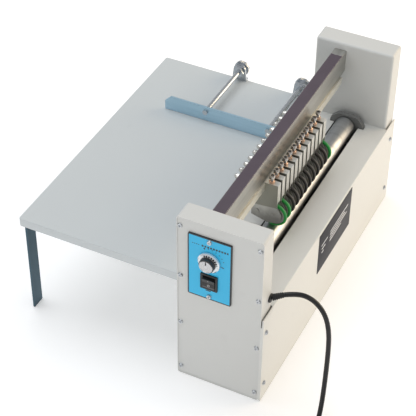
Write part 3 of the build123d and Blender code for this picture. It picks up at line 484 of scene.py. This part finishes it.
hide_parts("mains_plug")


def powder_coat(name, colour, roughness=0.38):
    """Baked paint on sheet steel: orange-peel skin, slight clouding, and a painted highlight along the
    folds.
    """
    coat = Finish(name, Specular_IOR_Level=0.45)
    shade = coat.mix(coat.noise(9.0), tuple(share * 0.965 for share in colour), colour)
    # Painted highlight: the paint is made paler along folds and corners.
    fold_highlight = coat.edges(0.0012)
    grime = coat.between(coat.noise(45.0, detail=6.0), 0.60, 0.85)
    shade = coat.mix(grime * 0.10, shade, tuple(share * 0.72 for share in colour))
    coat.feed(
        Base_Color=coat.mix(fold_highlight * 0.35, shade, tuple(min(1.0, share * 1.14) for share in colour)),
        Roughness=roughness + coat.noise(300.0) * 0.10 + grime * 0.10,
    )
    coat.bump(coat.noise(1100.0, detail=2.0), 0.00006)
    return coat


# End housings and their cover plates: folded sheet steel under pale grey powder coat.
# The plates sit inside the rims, held by pan-head screws.
house_paint = powder_coat("housing_paint", (0.655, 0.660, 0.640))
house_paint.on("near_housing", "far_housing", "near_cover_plate", "far_cover_plate", "base_pan")

# Outlet cover: one folded sheet, the deck and the outlet face, in the same coat.
# A printed label plate is stuck on its face.
cover_paint = powder_coat("cover_paint", (0.720, 0.720, 0.690))
cover_paint.on("outlet_cover")

cover_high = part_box("outlet_cover")[1]
LABEL_NEAR = -0.060
LABEL_FAR = 0.070
LABEL_LOW = 0.085
LABEL_BELOW_FOLD = 0.004
LABEL_THICK = 0.0008
BAR_HIGH = 0.0022
label_top = cover_high.z - LABEL_BELOW_FOLD
label = slab(
    "label_plate",
    (cover_high.x - 0.0001, LABEL_NEAR, LABEL_LOW),
    (cover_high.x + LABEL_THICK, LABEL_FAR, label_top),
    0.0003,
)
label_print = Finish("label_print", Specular_IOR_Level=0.25)
along = label_print.y - LABEL_NEAR
up = label_print.z - LABEL_LOW


def bar(finish, across, up, left, right, low, high):
    """1 inside a printed bar, 0 outside."""
    return (across > left) * (across < right) * (up > low) * (up < high)


marks = bar(label_print, along, up, 0.010, 0.034, 0.0480, 0.0500)
for left, right, low in (
    (0.012, 0.026, 0.040),
    (0.012, 0.020, 0.033),
    (0.044, 0.116, 0.050),
    (0.044, 0.104, 0.044),
    (0.044, 0.112, 0.038),
    (0.044, 0.090, 0.032),
):
    marks = marks + bar(label_print, along, up, left, right, low, low + BAR_HIGH)
weave = label_print.noise(500.0, stretch=(1, 1, 6))
label_print.feed(
    Base_Color=label_print.mix(marks, (0.028, 0.029, 0.038), (0.80, 0.81, 0.83)),
    Roughness=0.50 + weave * 0.12,
)
label_print.bump(marks, 0.00004)
stand(label, Matrix.Identity(4), label_print, "root")

# Frame screws: zinc-plated steel pan heads with a cross recess, and the hexagon screws of the beam.
# They hold the plates, the outlet cover, the panel and the beam.
zinc = Finish("zinc_plate", Metallic=1.0)
bloom = zinc.between(zinc.noise(260.0, detail=5.0), 0.42, 0.72)
zinc.feed(
    Base_Color=zinc.mix(bloom, (0.62, 0.64, 0.66), (0.40, 0.42, 0.45)),
    Roughness=0.26 + bloom * 0.22,
)
zinc.bump(zinc.noise(1500.0), 0.00001)
zinc.on("frame_screws")

# Control panel: an aluminium plate with blue print inside a dark border, and a ring of speed marks.
# Where the lettering would be there are plain bars.
panel_low, panel_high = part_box("control_panel")
BORDER = 0.0018
MARK_RING = 0.0226
FIRST_MARK = math.radians(-20)
LAST_MARK = math.radians(70)
MARK_STEP = math.radians(15)
FULL_SPEED = math.radians(98)
panel_x = (panel_low.x + panel_high.x) / 2
panel_z = (panel_low.z + panel_high.z) / 2
knob_low, knob_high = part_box("speed_knob")
dial_x = (knob_low.x + knob_high.x) / 2
dial_z = (knob_low.z + knob_high.z) / 2

panel = Finish("panel_print", Specular_IOR_Level=0.5)
across = panel.x - panel_x
upward = panel.z - panel_z
half_wide = (panel_high.x - panel_low.x) / 2
half_high = (panel_high.z - panel_low.z) / 2
border = panel.sum("MAXIMUM", abs(across) - (half_wide - BORDER), abs(upward) - (half_high - BORDER)) > 0
from_dial = panel.sum("SQRT", (panel.x - dial_x) ** 2 + (panel.z - dial_z) ** 2)
turn_at_dial = panel.sum("ARCTAN2", panel.x - dial_x, panel.z - dial_z)
nearest_mark = panel.sum("ROUND", (turn_at_dial - FIRST_MARK) / MARK_STEP) * MARK_STEP + FIRST_MARK
off_mark = (turn_at_dial - nearest_mark) * from_dial
mark_size = 0.0008 + (nearest_mark < FIRST_MARK + 0.1) * 0.0006
dots = (off_mark ** 2 + (from_dial - MARK_RING) ** 2) < mark_size ** 2
dots = dots * (nearest_mark > FIRST_MARK - 0.1) * (nearest_mark < LAST_MARK + 0.1)
off_dash = (turn_at_dial - FULL_SPEED) * from_dial
dots = dots + bar(panel, off_dash, from_dial, -0.0008, 0.0008, 0.0174, 0.0222)
title = bar(panel, across % 0.0042, upward, 0.0007, 0.0035, 0.0388, 0.0420)
title = title * (across > -0.012) * (across < 0.028)
sub_title = bar(panel, across % 0.0030, upward, 0.0006, 0.0024, 0.0398, 0.0410)
sub_title = sub_title * (across > -0.027) * (across < -0.015)
sub_title = sub_title + bar(panel, across, upward, -0.0055, 0.0025, -0.0406, -0.0388)
ink = panel.sum("MAXIMUM", panel.sum("MAXIMUM", border, dots), panel.sum("MAXIMUM", title, sub_title))
blue = panel.mix(panel.noise(55.0, detail=4.0), (0.028, 0.480, 0.800), (0.034, 0.510, 0.840))
panel.feed(
    Base_Color=panel.mix(ink, blue, (0.022, 0.026, 0.030)),
    Roughness=0.33 + panel.noise(900.0) * 0.12,
)
panel.bump(panel.noise(1500.0) + ink * 0.5, 0.00003)
panel.on("control_panel")

# Speed dial: a clear skirt with a white scale behind it, round a fluted black grip with a chromed cap.
# The cap and its pointer are pressed on and turn with it.
SKIRT_RADIUS = 0.0165
GRIP_RADIUS = 0.0115
SCALE_STEP = math.radians(15)
SCALE_MIDDLE = math.radians(28)
SCALE_HALF = math.radians(55)
dial = Finish("dial", Coat_Weight=0.6, Coat_Roughness=0.06)
radius = dial.sum("SQRT", (dial.x - dial_x) ** 2 + (dial.z - dial_z) ** 2)
turn_round = dial.sum("ARCTAN2", dial.x - dial_x, dial.z - dial_z)
off_scale = abs(turn_round % SCALE_STEP - SCALE_STEP / 2) * radius
scale_arcs = abs(turn_round - SCALE_MIDDLE) < SCALE_HALF
scale_arcs = scale_arcs + (abs(turn_round) > math.radians(148))
printed = (off_scale < 0.0010) * (radius > 0.0122) * (radius < 0.0150) * scale_arcs
on_skirt = radius > GRIP_RADIUS + 0.0002
rim_ring = radius > SKIRT_RADIUS - 0.0009
skirt_colour = dial.mix(printed, (0.78, 0.82, 0.85), (0.015, 0.015, 0.017))
skirt_colour = dial.mix(rim_ring, skirt_colour, (0.86, 0.88, 0.90))
dial.feed(
    Base_Color=dial.mix(on_skirt, (0.018, 0.018, 0.020), skirt_colour),
    Roughness=0.42 - on_skirt * 0.26 + dial.noise(600.0) * 0.05,
    Metallic=on_skirt * (1 - printed) * 0.55,
)
dial.bump(dial.noise(1600.0), 0.00002)
dial.on("speed_knob")

chrome = Finish("chrome", Metallic=1.0)
from_axis = chrome.sum("SQRT", (chrome.x - dial_x) ** 2 + (chrome.z - dial_z) ** 2)
spun = chrome.node(
    "ShaderNodeTexNoise", {"noise_dimensions": "1D"}, {"W": from_axis, "Scale": 900.0, "Detail": 3.0}, "Fac"
)
chrome.feed(
    Base_Color=chrome.mix(spun, (0.30, 0.30, 0.32), (0.78, 0.79, 0.80)),
    Roughness=0.10 + spun * 0.16,
)
cap = turned(
    "dial_cap",
    [
        (0.0100, -0.0002), (0.0102, 0.0004), (0.0098, 0.0009), (0.0085, 0.0010), (0.0080, 0.0006),
        (0.0030, 0.0004),
    ],
    48,
)
dial_front = Matrix.Translation((dial_x, knob_low.y, dial_z)) @ Matrix.Rotation(math.pi / 2, 4, "X")
stand(cap, dial_front, chrome, "speed_dial")
pointer = slab("dial_pointer", (-0.0006, 0.0035, 0.0003), (0.0006, 0.0096, 0.0013), 0.0002)
stand(pointer, dial_front, moulded, "speed_dial")

# Rocker switch: black nylon bezel and rocker, which tilts about its middle.
# The rocker's lower lip is worn grey by fingers, and carries the usual bar and ring marks.
nylon = Finish("switch_nylon", Specular_IOR_Level=0.45)
nylon.feed(
    Base_Color=nylon.mix(nylon.noise(220.0), (0.010, 0.010, 0.011), (0.020, 0.020, 0.022)),
    Roughness=0.30 + nylon.noise(800.0) * 0.14,
)
nylon.bump(nylon.noise(2400.0), 0.00003)
nylon.on("switch_housing", "speed_controller")

rocker_low, rocker_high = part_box("switch_rocker")
rocker_x = (rocker_low.x + rocker_high.x) / 2
rocker_z = (rocker_low.z + rocker_high.z) / 2
rocker = Finish("rocker_nylon", Specular_IOR_Level=0.45)
across = rocker.x - rocker_x
upward = rocker.z - rocker_z
ring_radius = rocker.sum("SQRT", across ** 2 + (upward + 0.0048) ** 2)
symbols = abs(ring_radius - 0.0016) < 0.00028
symbols = symbols + bar(rocker, across, upward, -0.0003, 0.0003, 0.0032, 0.0064)
worn = rocker.between(upward, -0.0062, -0.0092)
rocker_colour = rocker.mix(worn, (0.014, 0.014, 0.015), (0.13, 0.13, 0.14))
rocker.feed(
    Base_Color=rocker.mix(symbols, rocker_colour, (0.62, 0.62, 0.60)),
    Roughness=0.28 + rocker.noise(700.0) * 0.16,
)
rocker.bump(rocker.noise(2400.0), 0.00003)
rocker.on("switch_rocker")

# Feed table: a shallow steel tray, powder coated a little bluer than the housings.
# It stands on two bent flat legs, zinc plated a dark blue and streaked along their length.
table_paint = powder_coat("table_paint", (0.590, 0.625, 0.635), 0.42)
table_paint.on("feed_table")

leg_steel = Finish("leg_zinc", Metallic=1.0)
streaks = leg_steel.noise(140.0, stretch=(3, 3, 0.25), detail=5.0)
leg_steel.feed(
    Base_Color=leg_steel.mix(streaks, (0.046, 0.084, 0.110), (0.082, 0.135, 0.170)),
    Roughness=0.30 + streaks * 0.25 + leg_steel.edges(0.0008) * -0.08,
)
leg_steel.bump(streaks, 0.00003)
leg_steel.on("table_legs")

# Side guide: a flat bar on edge, blue zinc plated, which squares the sheet against the feed.
# Two zinc-plated rods carry it and slide in brackets; knurled knobs lock them.
guide_steel = Finish("blue_zinc", Metallic=1.0)
drawn = guide_steel.noise(220.0, stretch=(0.06, 1, 1), detail=5.0)
guide_steel.feed(
    Base_Color=guide_steel.mix(drawn, (0.40, 0.60, 0.72), (0.56, 0.75, 0.88)),
    Roughness=0.26 + drawn * 0.20,
)
guide_steel.bump(drawn, 0.00003)
guide_steel.on("side_guide")

rod_steel = Finish("rod_zinc", Metallic=1.0)
rings = rod_steel.noise(160.0, stretch=(0.3, 1, 0.3), detail=3.0)
rod_steel.feed(
    Base_Color=rod_steel.mix(rings, (0.52, 0.55, 0.58), (0.62, 0.65, 0.68)),
    Roughness=0.18 + rings * 0.18,
)
rod_steel.on("guide_rods", "rod_brackets", "lock_knob_outer", "lock_knob_inner")

# Cross beam: cold-drawn flat steel across the machine, its top still under a mauve primer.
# The rail that holds the tool units is clamped under it, ground bright.
beam_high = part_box("cross_beam")[1]
BARE_END = 0.016
beam_steel = Finish("beam_steel")
on_top = beam_steel.z > beam_high.z - 0.0007
bare_from = beam_high.y - BARE_END
bare = beam_steel.between(beam_steel.y + beam_steel.noise(160.0) * 0.004, bare_from, bare_from + 0.001)
primed = on_top * (1 - bare)
mill = beam_steel.noise(150.0, stretch=(1, 0.05, 1), detail=5.0)
worn = beam_steel.between(beam_steel.edges(0.0012) + beam_steel.noise(90.0) * 0.5, 0.55, 0.95)
steel_colour = beam_steel.mix(mill, (0.36, 0.36, 0.34), (0.58, 0.57, 0.54))
primer = beam_steel.mix(beam_steel.noise(35.0, detail=5.0), (0.070, 0.052, 0.070), (0.094, 0.072, 0.094))
beam_steel.feed(
    Base_Color=beam_steel.mix(primed * (1 - worn), steel_colour, primer),
    Metallic=1 - primed * (1 - worn),
    Roughness=0.30 + mill * 0.16 + primed * 0.30,
)
beam_steel.bump(mill, 0.00003)
beam_steel.on("cross_beam")

rail_steel = Finish("rail_steel", Metallic=0.7)
ground = rail_steel.noise(400.0, stretch=(1, 0.03, 1), detail=4.0)
rail_steel.feed(
    Base_Color=rail_steel.mix(ground, (0.72, 0.70, 0.62), (0.84, 0.82, 0.74)),
    Roughness=0.34 + ground * 0.12,
)
rail_steel.on("tool_rail")

# Tool holders: folded channels of bright zinc-plated sheet, one for each wheel.
# They are blanked and bent, with faint drawing lines; a painted highlight runs along their edges, and their
# sides are painted darker than their fronts and caps as painted shade between neighbouring holders.
holder_steel = Finish("holder_zinc", Metallic=0.85)
drawn = holder_steel.noise(260.0, stretch=(1, 1, 0.12), detail=5.0)
smudge = holder_steel.between(holder_steel.noise(120.0, detail=6.0), 0.50, 0.80)
# Painted highlight: edges and folds are made near white.
edge_highlight = holder_steel.edges(0.0006)
plate_colour = holder_steel.mix(drawn, (0.60, 0.60, 0.57), (0.76, 0.76, 0.72))
plate_colour = holder_steel.mix(smudge * 0.5, plate_colour, (0.36, 0.35, 0.32))
# Painted shade: faces turned along Y, the sides between neighbouring holders, are made darker.
facing = holder_steel.node("ShaderNodeNewGeometry", output="Normal")
side_shade = abs(holder_steel.node("ShaderNodeSeparateXYZ", inputs={"Vector": facing}, output="Y"))
plate_colour = holder_steel.mix(holder_steel.between(side_shade, 0.6, 0.95), plate_colour, (0.34, 0.34, 0.30))
holder_steel.feed(
    Base_Color=holder_steel.mix(edge_highlight * 0.6, plate_colour, (0.88, 0.88, 0.85)),
    Roughness=0.30 + drawn * 0.14 + smudge * 0.16,
)
holder_steel.bump(drawn, 0.00003)
holder_steel.on("tool_holders")

# Holder bolts: one M5 bolt through the rail for each holder, with a clamp nut behind the rail,
# a lock nut near the end and a domed cap nut over the point. Cap nuts nickel plated; the rest oiled steel,
# painted near-black as painted shade round the nuts.
UNIT_COUNT = 12
BOLT_RADIUS = 0.0024
THREAD_PITCH = 0.0008
NUT_RADIUS = 0.0046
DOME_RADIUS = 0.0039
CAP_HEX_HIGH = 0.0040
LOCK_NUT_HIGH = 0.0038
LOCK_NUT_INSET = 0.0084
CLAMP_NUT_HIGH = 0.0040
BOLT_HEAD_HIGH = 0.0030
rail_low, rail_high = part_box("tool_rail")
wheel_boxes = [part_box(f"wheel_{number:02d}") for number in range(1, UNIT_COUNT + 1)]
unit_ys = [(low.y + high.y) / 2 for low, high in wheel_boxes]
bolt_low, bolt_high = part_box("holder_bolts")
bolt_z = (rail_low.z + rail_high.z) / 2
lock_nut_x = bolt_low.x + LOCK_NUT_INSET


def copy_of(piece, name):
    """A copy with its own mesh, before either is in place."""
    copied = bpy.data.objects.new(name, piece.data.copy())
    bpy.context.scene.collection.objects.link(copied)
    return copied


def threaded(name, radius, pitch, length, depth=0.0003):
    """A screw thread along Z, from a notched profile wound up round the axis."""
    bpy.ops.object.select_all(action="DESELECT")
    bpy.ops.mesh.primitive_plane_add(size=1, location=(0, 0, 0))
    screw = bpy.context.object
    screw.name = name
    bpy.ops.object.mode_set(mode="EDIT")
    bpy.ops.mesh.delete(type="ONLY_FACE")
    profile = bmesh.from_edit_mesh(screw.data)
    profile.verts.ensure_lookup_table()
    bmesh.ops.delete(profile, geom=[profile.verts[3]], context="VERTS")
    profile.verts.ensure_lookup_table()
    corners = sorted(profile.verts, key=lambda vertex: len(vertex.link_edges))
    corners[2].co = (radius, 0, pitch / 2)
    corners[0].co = (radius - depth, 0, 0)
    corners[1].co = (radius - depth, 0, pitch)
    bmesh.update_edit_mesh(screw.data)
    bpy.ops.object.mode_set(mode="OBJECT")
    wound = screw.modifiers.new("thread", "SCREW")
    wound.axis = "Z"
    wound.screw_offset = pitch
    wound.iterations = round(length / pitch)
    wound.steps = 14
    wound.render_steps = 14
    wound.use_merge_vertices = True
    wound.merge_threshold = 0.00001
    bpy.ops.object.modifier_apply(modifier="thread")
    bpy.ops.object.mode_set(mode="EDIT")
    bpy.ops.mesh.select_all(action="SELECT")
    bpy.ops.mesh.remove_doubles(threshold=0.00001)
    bpy.ops.mesh.select_all(action="DESELECT")
    wound_mesh = bmesh.from_edit_mesh(screw.data)
    for edge in wound_mesh.edges:
        edge.select = edge.is_boundary
    bmesh.update_edit_mesh(screw.data)
    bpy.ops.mesh.edge_face_add()
    bpy.ops.mesh.select_all(action="SELECT")
    bpy.ops.mesh.normals_make_consistent(inside=False)
    bpy.ops.object.mode_set(mode="OBJECT")
    return screw


def join(name, pieces):
    """Make several pieces one, under one name."""
    bpy.ops.object.select_all(action="DESELECT")
    for piece in pieces:
        piece.select_set(True)
    bpy.context.view_layer.objects.active = pieces[0]
    bpy.ops.object.join()
    pieces[0].name = name
    return pieces[0]


def hex_nut(name, radius, height, corner=0.0007):
    """A hexagon nut standing on z = 0 with its corners turned off at both faces."""
    rim = corner * 0.6
    rings = [(radius - corner, 0), (radius, rim), (radius, height - rim), (radius - corner, height)]
    nut = turned(name, rings, 6)
    bpy.ops.object.mode_set(mode="EDIT")
    bpy.ops.mesh.select_all(action="DESELECT")
    mesh = bmesh.from_edit_mesh(nut.data)
    for edge in mesh.edges:
        edge.select = abs(edge.verts[0].co.z - edge.verts[1].co.z) > height / 2
    bmesh.update_edit_mesh(nut.data)
    bpy.ops.mesh.bevel(offset=0.0002, segments=2, affect="EDGES")
    bpy.ops.object.mode_set(mode="OBJECT")
    return nut


# The bolt set is modelled along Z from the cap nut's dome, then laid along X.
dome = [(0.0004, 0.0)]
for step in range(1, 7):
    lean = math.radians(90 * step / 6)
    dome.append((DOME_RADIUS * math.sin(lean) + 0.00002, DOME_RADIUS * (1 - math.cos(lean))))
dome.append((DOME_RADIUS, 0.0046))
cap_dome = turned("cap_dome", dome, 28)
cap_hex = hex_nut("cap_hex", NUT_RADIUS, CAP_HEX_HIGH)
cap_hex.data.transform(Matrix.Translation((0, 0, 0.0044)))
lock_nut = hex_nut("lock_nut", NUT_RADIUS, LOCK_NUT_HIGH)
lock_nut.data.transform(Matrix.Translation((0, 0, lock_nut_x - bolt_low.x + 0.0001)))
clamp_nut = hex_nut("clamp_nut", NUT_RADIUS, CLAMP_NUT_HIGH)
clamp_nut.data.transform(Matrix.Translation((0, 0, rail_low.x - (CLAMP_NUT_HIGH + 0.0001) - bolt_low.x)))
thread = threaded("bolt_thread", BOLT_RADIUS, THREAD_PITCH, rail_low.x - lock_nut_x - 0.004)
thread.data.transform(Matrix.Translation((0, 0, lock_nut_x - bolt_low.x + 0.003)))
bolt_head = turned(
    "bolt_head",
    [
        (BOLT_RADIUS, -0.0020), (BOLT_RADIUS, 0.0), (0.0040, 0.0), (0.0040, 0.0018), (0.0034, 0.0026),
        (0.0020, BOLT_HEAD_HIGH),
    ],
    28,
)
bolt_head.data.transform(Matrix.Translation((0, 0, bolt_high.x - BOLT_HEAD_HIGH - bolt_low.x)))
bolt_set = join("bolt_set", [cap_dome, cap_hex, lock_nut, clamp_nut, thread, bolt_head])

bolt_plate = Finish("bolt_plate", Metallic=1.0)
# Painted shade: beyond the lock nut the oiled steel is made near-black, for the shade round the nuts.
from_nut = bolt_plate.x + bolt_plate.noise(500.0) * 0.001 - lock_nut_x
nut_shade = bolt_plate.between(from_nut, -0.0006, 0.0010)
film = bolt_plate.noise(420.0, detail=5.0)
bright_nut = bolt_plate.mix(film, (0.72, 0.71, 0.68), (0.46, 0.45, 0.42))
shaded_nut_colour = bolt_plate.mix(film, (0.20, 0.19, 0.18), (0.08, 0.08, 0.08))
bolt_plate.feed(Base_Color=bolt_plate.mix(nut_shade, bright_nut, shaded_nut_colour), Roughness=0.16 + film * 0.24)
along_x = Matrix.Rotation(math.pi / 2, 4, "Y")
for number, y in enumerate(unit_ys, start=1):
    bolt = copy_of(bolt_set, f"holder_bolt_{number:02d}")
    turned_by = Matrix.Rotation(math.radians(23 * number), 4, "Z")
    at_rail = Matrix.Translation((bolt_low.x, y, bolt_z)) @ along_x @ turned_by
    stand(bolt, at_rail, bolt_plate, "root")
    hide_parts("holder_bolts")
bpy.data.objects.remove(bolt_set)

# Adjusting screws: socket-headed steel screws with copper-washed lock nuts on the holders' caps.
# Each presses a coil spring down on its swing arm.
SCREW_RADIUS = 0.0025
SCREW_NUT_HIGH = 0.0035
spring_low, spring_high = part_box("press_springs")
screw_x = (spring_low.x + spring_high.x) / 2
cap_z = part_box("tool_holders")[1].z

copper = Finish("copper_wash", Metallic=1.0)
dulled = copper.between(copper.noise(500.0, detail=5.0), 0.40, 0.75)
copper.feed(
    Base_Color=copper.mix(dulled, (0.86, 0.58, 0.42), (0.46, 0.28, 0.20)),
    Roughness=0.22 + dulled * 0.22,
)
screw_steel = Finish("screw_steel", Metallic=1.0)
oiled = screw_steel.between(screw_steel.noise(420.0, detail=5.0), 0.42, 0.70)
screw_steel.feed(
    Base_Color=screw_steel.mix(oiled, (0.46, 0.44, 0.42), (0.20, 0.19, 0.18)),
    Roughness=0.24 + oiled * 0.20,
)

head = turned(
    "screw_head",
    [
        (SCREW_RADIUS, 0.0078), (0.0036, 0.0080), (0.0042, 0.0085), (0.0042, 0.0122), (0.0038, 0.0130),
        (0.0023, 0.0130), (0.0021, 0.0100),
    ],
    30,
)
shank = threaded("screw_thread", SCREW_RADIUS, THREAD_PITCH, 0.0168)
shank.data.transform(Matrix.Translation((0, 0, -0.0088)))
pad = turned("screw_pad", [(SCREW_RADIUS, -0.0085), (0.0034, -0.0092), (0.0034, -0.0105)], 30)
screw_set = join("screw_set", [head, shank, pad])
lock = hex_nut("lock", NUT_RADIUS, SCREW_NUT_HIGH)

# Spring: round wire wound into six turns.
# It stands between the screw's pad and the arm.
WIRE = 0.0010
SPRING_RADIUS = 0.0034
SPRING_TURNS = 6
spring_height = spring_high.z - spring_low.z
bpy.ops.object.select_all(action="DESELECT")
bpy.ops.mesh.primitive_circle_add(vertices=10, radius=WIRE / 2, fill_type="NOTHING")
coil = bpy.context.object
wire_place = Matrix.Translation((SPRING_RADIUS - WIRE / 2, 0, WIRE / 2))
coil.data.transform(wire_place @ Matrix.Rotation(math.pi / 2, 4, "X"))
wound = coil.modifiers.new("coil", "SCREW")
wound.axis = "Z"
wound.screw_offset = (spring_height - WIRE) / SPRING_TURNS
wound.iterations = SPRING_TURNS
wound.steps = 20
wound.render_steps = 20
bpy.ops.object.modifier_apply(modifier="coil")
bpy.ops.object.mode_set(mode="EDIT")
ends = bmesh.from_edit_mesh(coil.data)
bpy.ops.mesh.select_all(action="DESELECT")
for edge in ends.edges:
    edge.select = edge.is_boundary
bmesh.update_edit_mesh(coil.data)
bpy.ops.mesh.edge_face_add()
bpy.ops.mesh.select_all(action="SELECT")
bpy.ops.mesh.normals_make_consistent(inside=False)
bpy.ops.object.mode_set(mode="OBJECT")

spring_wire = Finish("spring_wire", Metallic=1.0)
spring_wire.feed(
    Base_Color=spring_wire.mix(spring_wire.noise(700.0), (0.36, 0.36, 0.37), (0.60, 0.60, 0.61)),
    Roughness=0.22 + spring_wire.noise(1200.0) * 0.14,
)
ARM_LIFT = math.radians(8)
pivot_low, pivot_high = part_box("pivot_pins")
SPRING_CLEAR = 0.0003
spring_edge = screw_x + SPRING_RADIUS - (pivot_low.x + pivot_high.x) / 2
spring_lift = spring_edge * math.sin(ARM_LIFT) + SPRING_CLEAR
for number, y in enumerate(unit_ys, start=1):
    at_cap = Matrix.Translation((screw_x, y, cap_z)) @ Matrix.Rotation(math.radians(41 * number), 4, "Z")
    screw = stand(copy_of(screw_set, f"adjusting_screw_{number:02d}"), at_cap, screw_steel, "root")
    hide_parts("adjusting_screws")
    stand(copy_of(lock, f"lock_nut_{number:02d}"), at_cap, copper, "root")
    turned_by = Matrix.Rotation(math.radians(67 * number), 4, "Z")
    at_spring = Matrix.Translation((screw_x, y, spring_low.z)) @ turned_by
    spring = copy_of(coil, f"press_spring_{number:02d}")
    stand(spring, at_spring, spring_wire, "root")
    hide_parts("press_springs")
    keep = 1 - spring_lift / spring_height
    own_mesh(spring)
for pattern in (screw_set, lock, coil):
    bpy.data.objects.remove(pattern)

# Swing arms and their pivot pins: blanked steel sheet, folded and zinc plated, painted darker towards the
# wheels as painted shade below the holders.
# A riveted axle in each carries the wheel.
arm_steel = Finish("arm_zinc", Metallic=0.9)
grain = arm_steel.noise(280.0, stretch=(0.2, 1, 1), detail=5.0)
# Painted shade: the arms are made darker from about 0.22 m downwards, towards the wheels.
arm_low_shade = arm_steel.between(arm_steel.z + arm_steel.noise(150.0, detail=5.0) * 0.016, 0.222, 0.196)
arm_colour = arm_steel.mix(grain, (0.50, 0.50, 0.48), (0.68, 0.68, 0.65))
arm_steel.feed(
    Base_Color=arm_steel.mix(arm_low_shade * 0.6, arm_colour, (0.16, 0.15, 0.14)),
    Roughness=0.28 + grain * 0.14 + arm_low_shade * 0.10,
)
arm_steel.bump(grain, 0.00002)
arm_steel.on("pivot_pins", *[f"arm_{number:02d}" for number in range(1, UNIT_COUNT + 1)])

# Wheels: turned steel discs with a bonded rubber tyre, moulded round.
# The two nearest and the farthest are green, the rest black.
TYRE_DEPTH = 0.0038
GREEN_WHEELS = (1, 2, 12)
axle_x = (wheel_boxes[0][0].x + wheel_boxes[0][1].x) / 2
axle_z = (wheel_boxes[0][0].z + wheel_boxes[0][1].z) / 2
disc_radius = (wheel_boxes[0][1].x - wheel_boxes[0][0].x) / 2 - TYRE_DEPTH


def wheel_finish(name, dark, light):
    """Bright turned disc inside, rubber outside, with a dusty line where the tyre runs on the roller."""
    finish = Finish(name)
    radius = finish.sum("SQRT", (finish.x - axle_x) ** 2 + (finish.z - axle_z) ** 2)
    tyre = radius > disc_radius
    rubber = finish.mix(finish.noise(260.0, detail=4.0), dark, light)
    lathe_marks = {"W": radius, "Scale": 2600.0, "Detail": 2.0}
    turning = finish.node("ShaderNodeTexNoise", {"noise_dimensions": "1D"}, lathe_marks, "Fac")
    steel = finish.mix(turning, (0.45, 0.44, 0.42), (0.70, 0.69, 0.66))
    dust = finish.between(radius, disc_radius + TYRE_DEPTH - 0.0006, disc_radius + TYRE_DEPTH)
    rubber = finish.mix(dust * 0.35, rubber, tuple(0.5 * share + 0.10 for share in light))
    finish.feed(
        Base_Color=finish.mix(tyre, steel, rubber),
        Metallic=1 - tyre,
        Roughness=0.26 + turning * 0.10 + tyre * 0.18,
    )
    finish.bump(turning * 0.5 + finish.noise(900.0) * tyre, 0.00004)
    return finish


green_wheel = wheel_finish("green_wheel", (0.002, 0.230, 0.030), (0.006, 0.330, 0.052))
black_wheel = wheel_finish("black_wheel", (0.010, 0.009, 0.009), (0.028, 0.024, 0.022))
for number in range(1, UNIT_COUNT + 1):
    (green_wheel if number in GREEN_WHEELS else black_wheel).on(f"wheel_{number:02d}")

# Drive roller: ground steel barrel, streaked with oil, in two ball bearings held by cast brackets.
# Its gear, the pinion and the gear motor are inside the base.
roller_steel = Finish("roller_steel", Metallic=1.0)
ground = roller_steel.noise(700.0, stretch=(0.3, 1, 0.3), detail=4.0)
tracks = roller_steel.between(roller_steel.noise(60.0, stretch=(0.02, 1, 0.02), detail=5.0), 0.48, 0.66)
roller_steel.feed(
    Base_Color=roller_steel.mix(tracks * 0.6, (0.50, 0.51, 0.52), (0.34, 0.35, 0.36)),
    Roughness=0.32 + ground * 0.12 + tracks * 0.08,
)
roller_steel.bump(ground, 0.00001)
roller_steel.on("drive_roller")

cast = Finish("grey_casting", Metallic=0.3)
cast_grain = cast.noise(520.0, detail=6.0)
rubbed = cast.edges(0.0010)
cast_colour = cast.mix(cast_grain, (0.170, 0.172, 0.170), (0.240, 0.242, 0.236))
cast.feed(
    Base_Color=cast.mix(rubbed * 0.5, cast_colour, (0.34, 0.34, 0.34)),
    Roughness=0.48 + cast_grain * 0.14,
)
cast.bump(cast_grain, 0.00008)
cast.on("bearing_brackets")

race_low, race_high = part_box("roller_bearings")
race_x = (race_low.x + race_high.x) / 2
race_z = (race_low.z + race_high.z) / 2
race = Finish("bearing_steel", Metallic=1.0)
from_shaft = race.sum("SQRT", (race.x - race_x) ** 2 + (race.z - race_z) ** 2)
seal = (from_shaft > 0.0082) * (from_shaft < 0.0118)
race.feed(
    Base_Color=race.mix(seal, (0.66, 0.66, 0.66), (0.03, 0.03, 0.032)),
    Metallic=1 - seal,
    Roughness=0.18 + seal * 0.3 + race.noise(900.0) * 0.06,
)
race.on("roller_bearings")

gear_steel = Finish("gear_steel", Metallic=1.0)
hobbed = gear_steel.noise(600.0, stretch=(1, 0.2, 1), detail=4.0)
gear_steel.feed(
    Base_Color=gear_steel.mix(hobbed, (0.38, 0.38, 0.38), (0.58, 0.57, 0.55)),
    Roughness=0.26 + hobbed * 0.18,
)
gear_steel.on("roller_gear", "motor_pinion")

motor_case = Finish("motor_case", Specular_IOR_Level=0.5)
motor_case.feed(
    Base_Color=motor_case.mix(motor_case.noise(90.0), (0.10, 0.11, 0.12), (0.14, 0.15, 0.16)),
    Roughness=0.40 + motor_case.noise(500.0) * 0.18,
)
motor_case.bump(motor_case.noise(900.0), 0.00005)
motor_case.on("gear_motor")
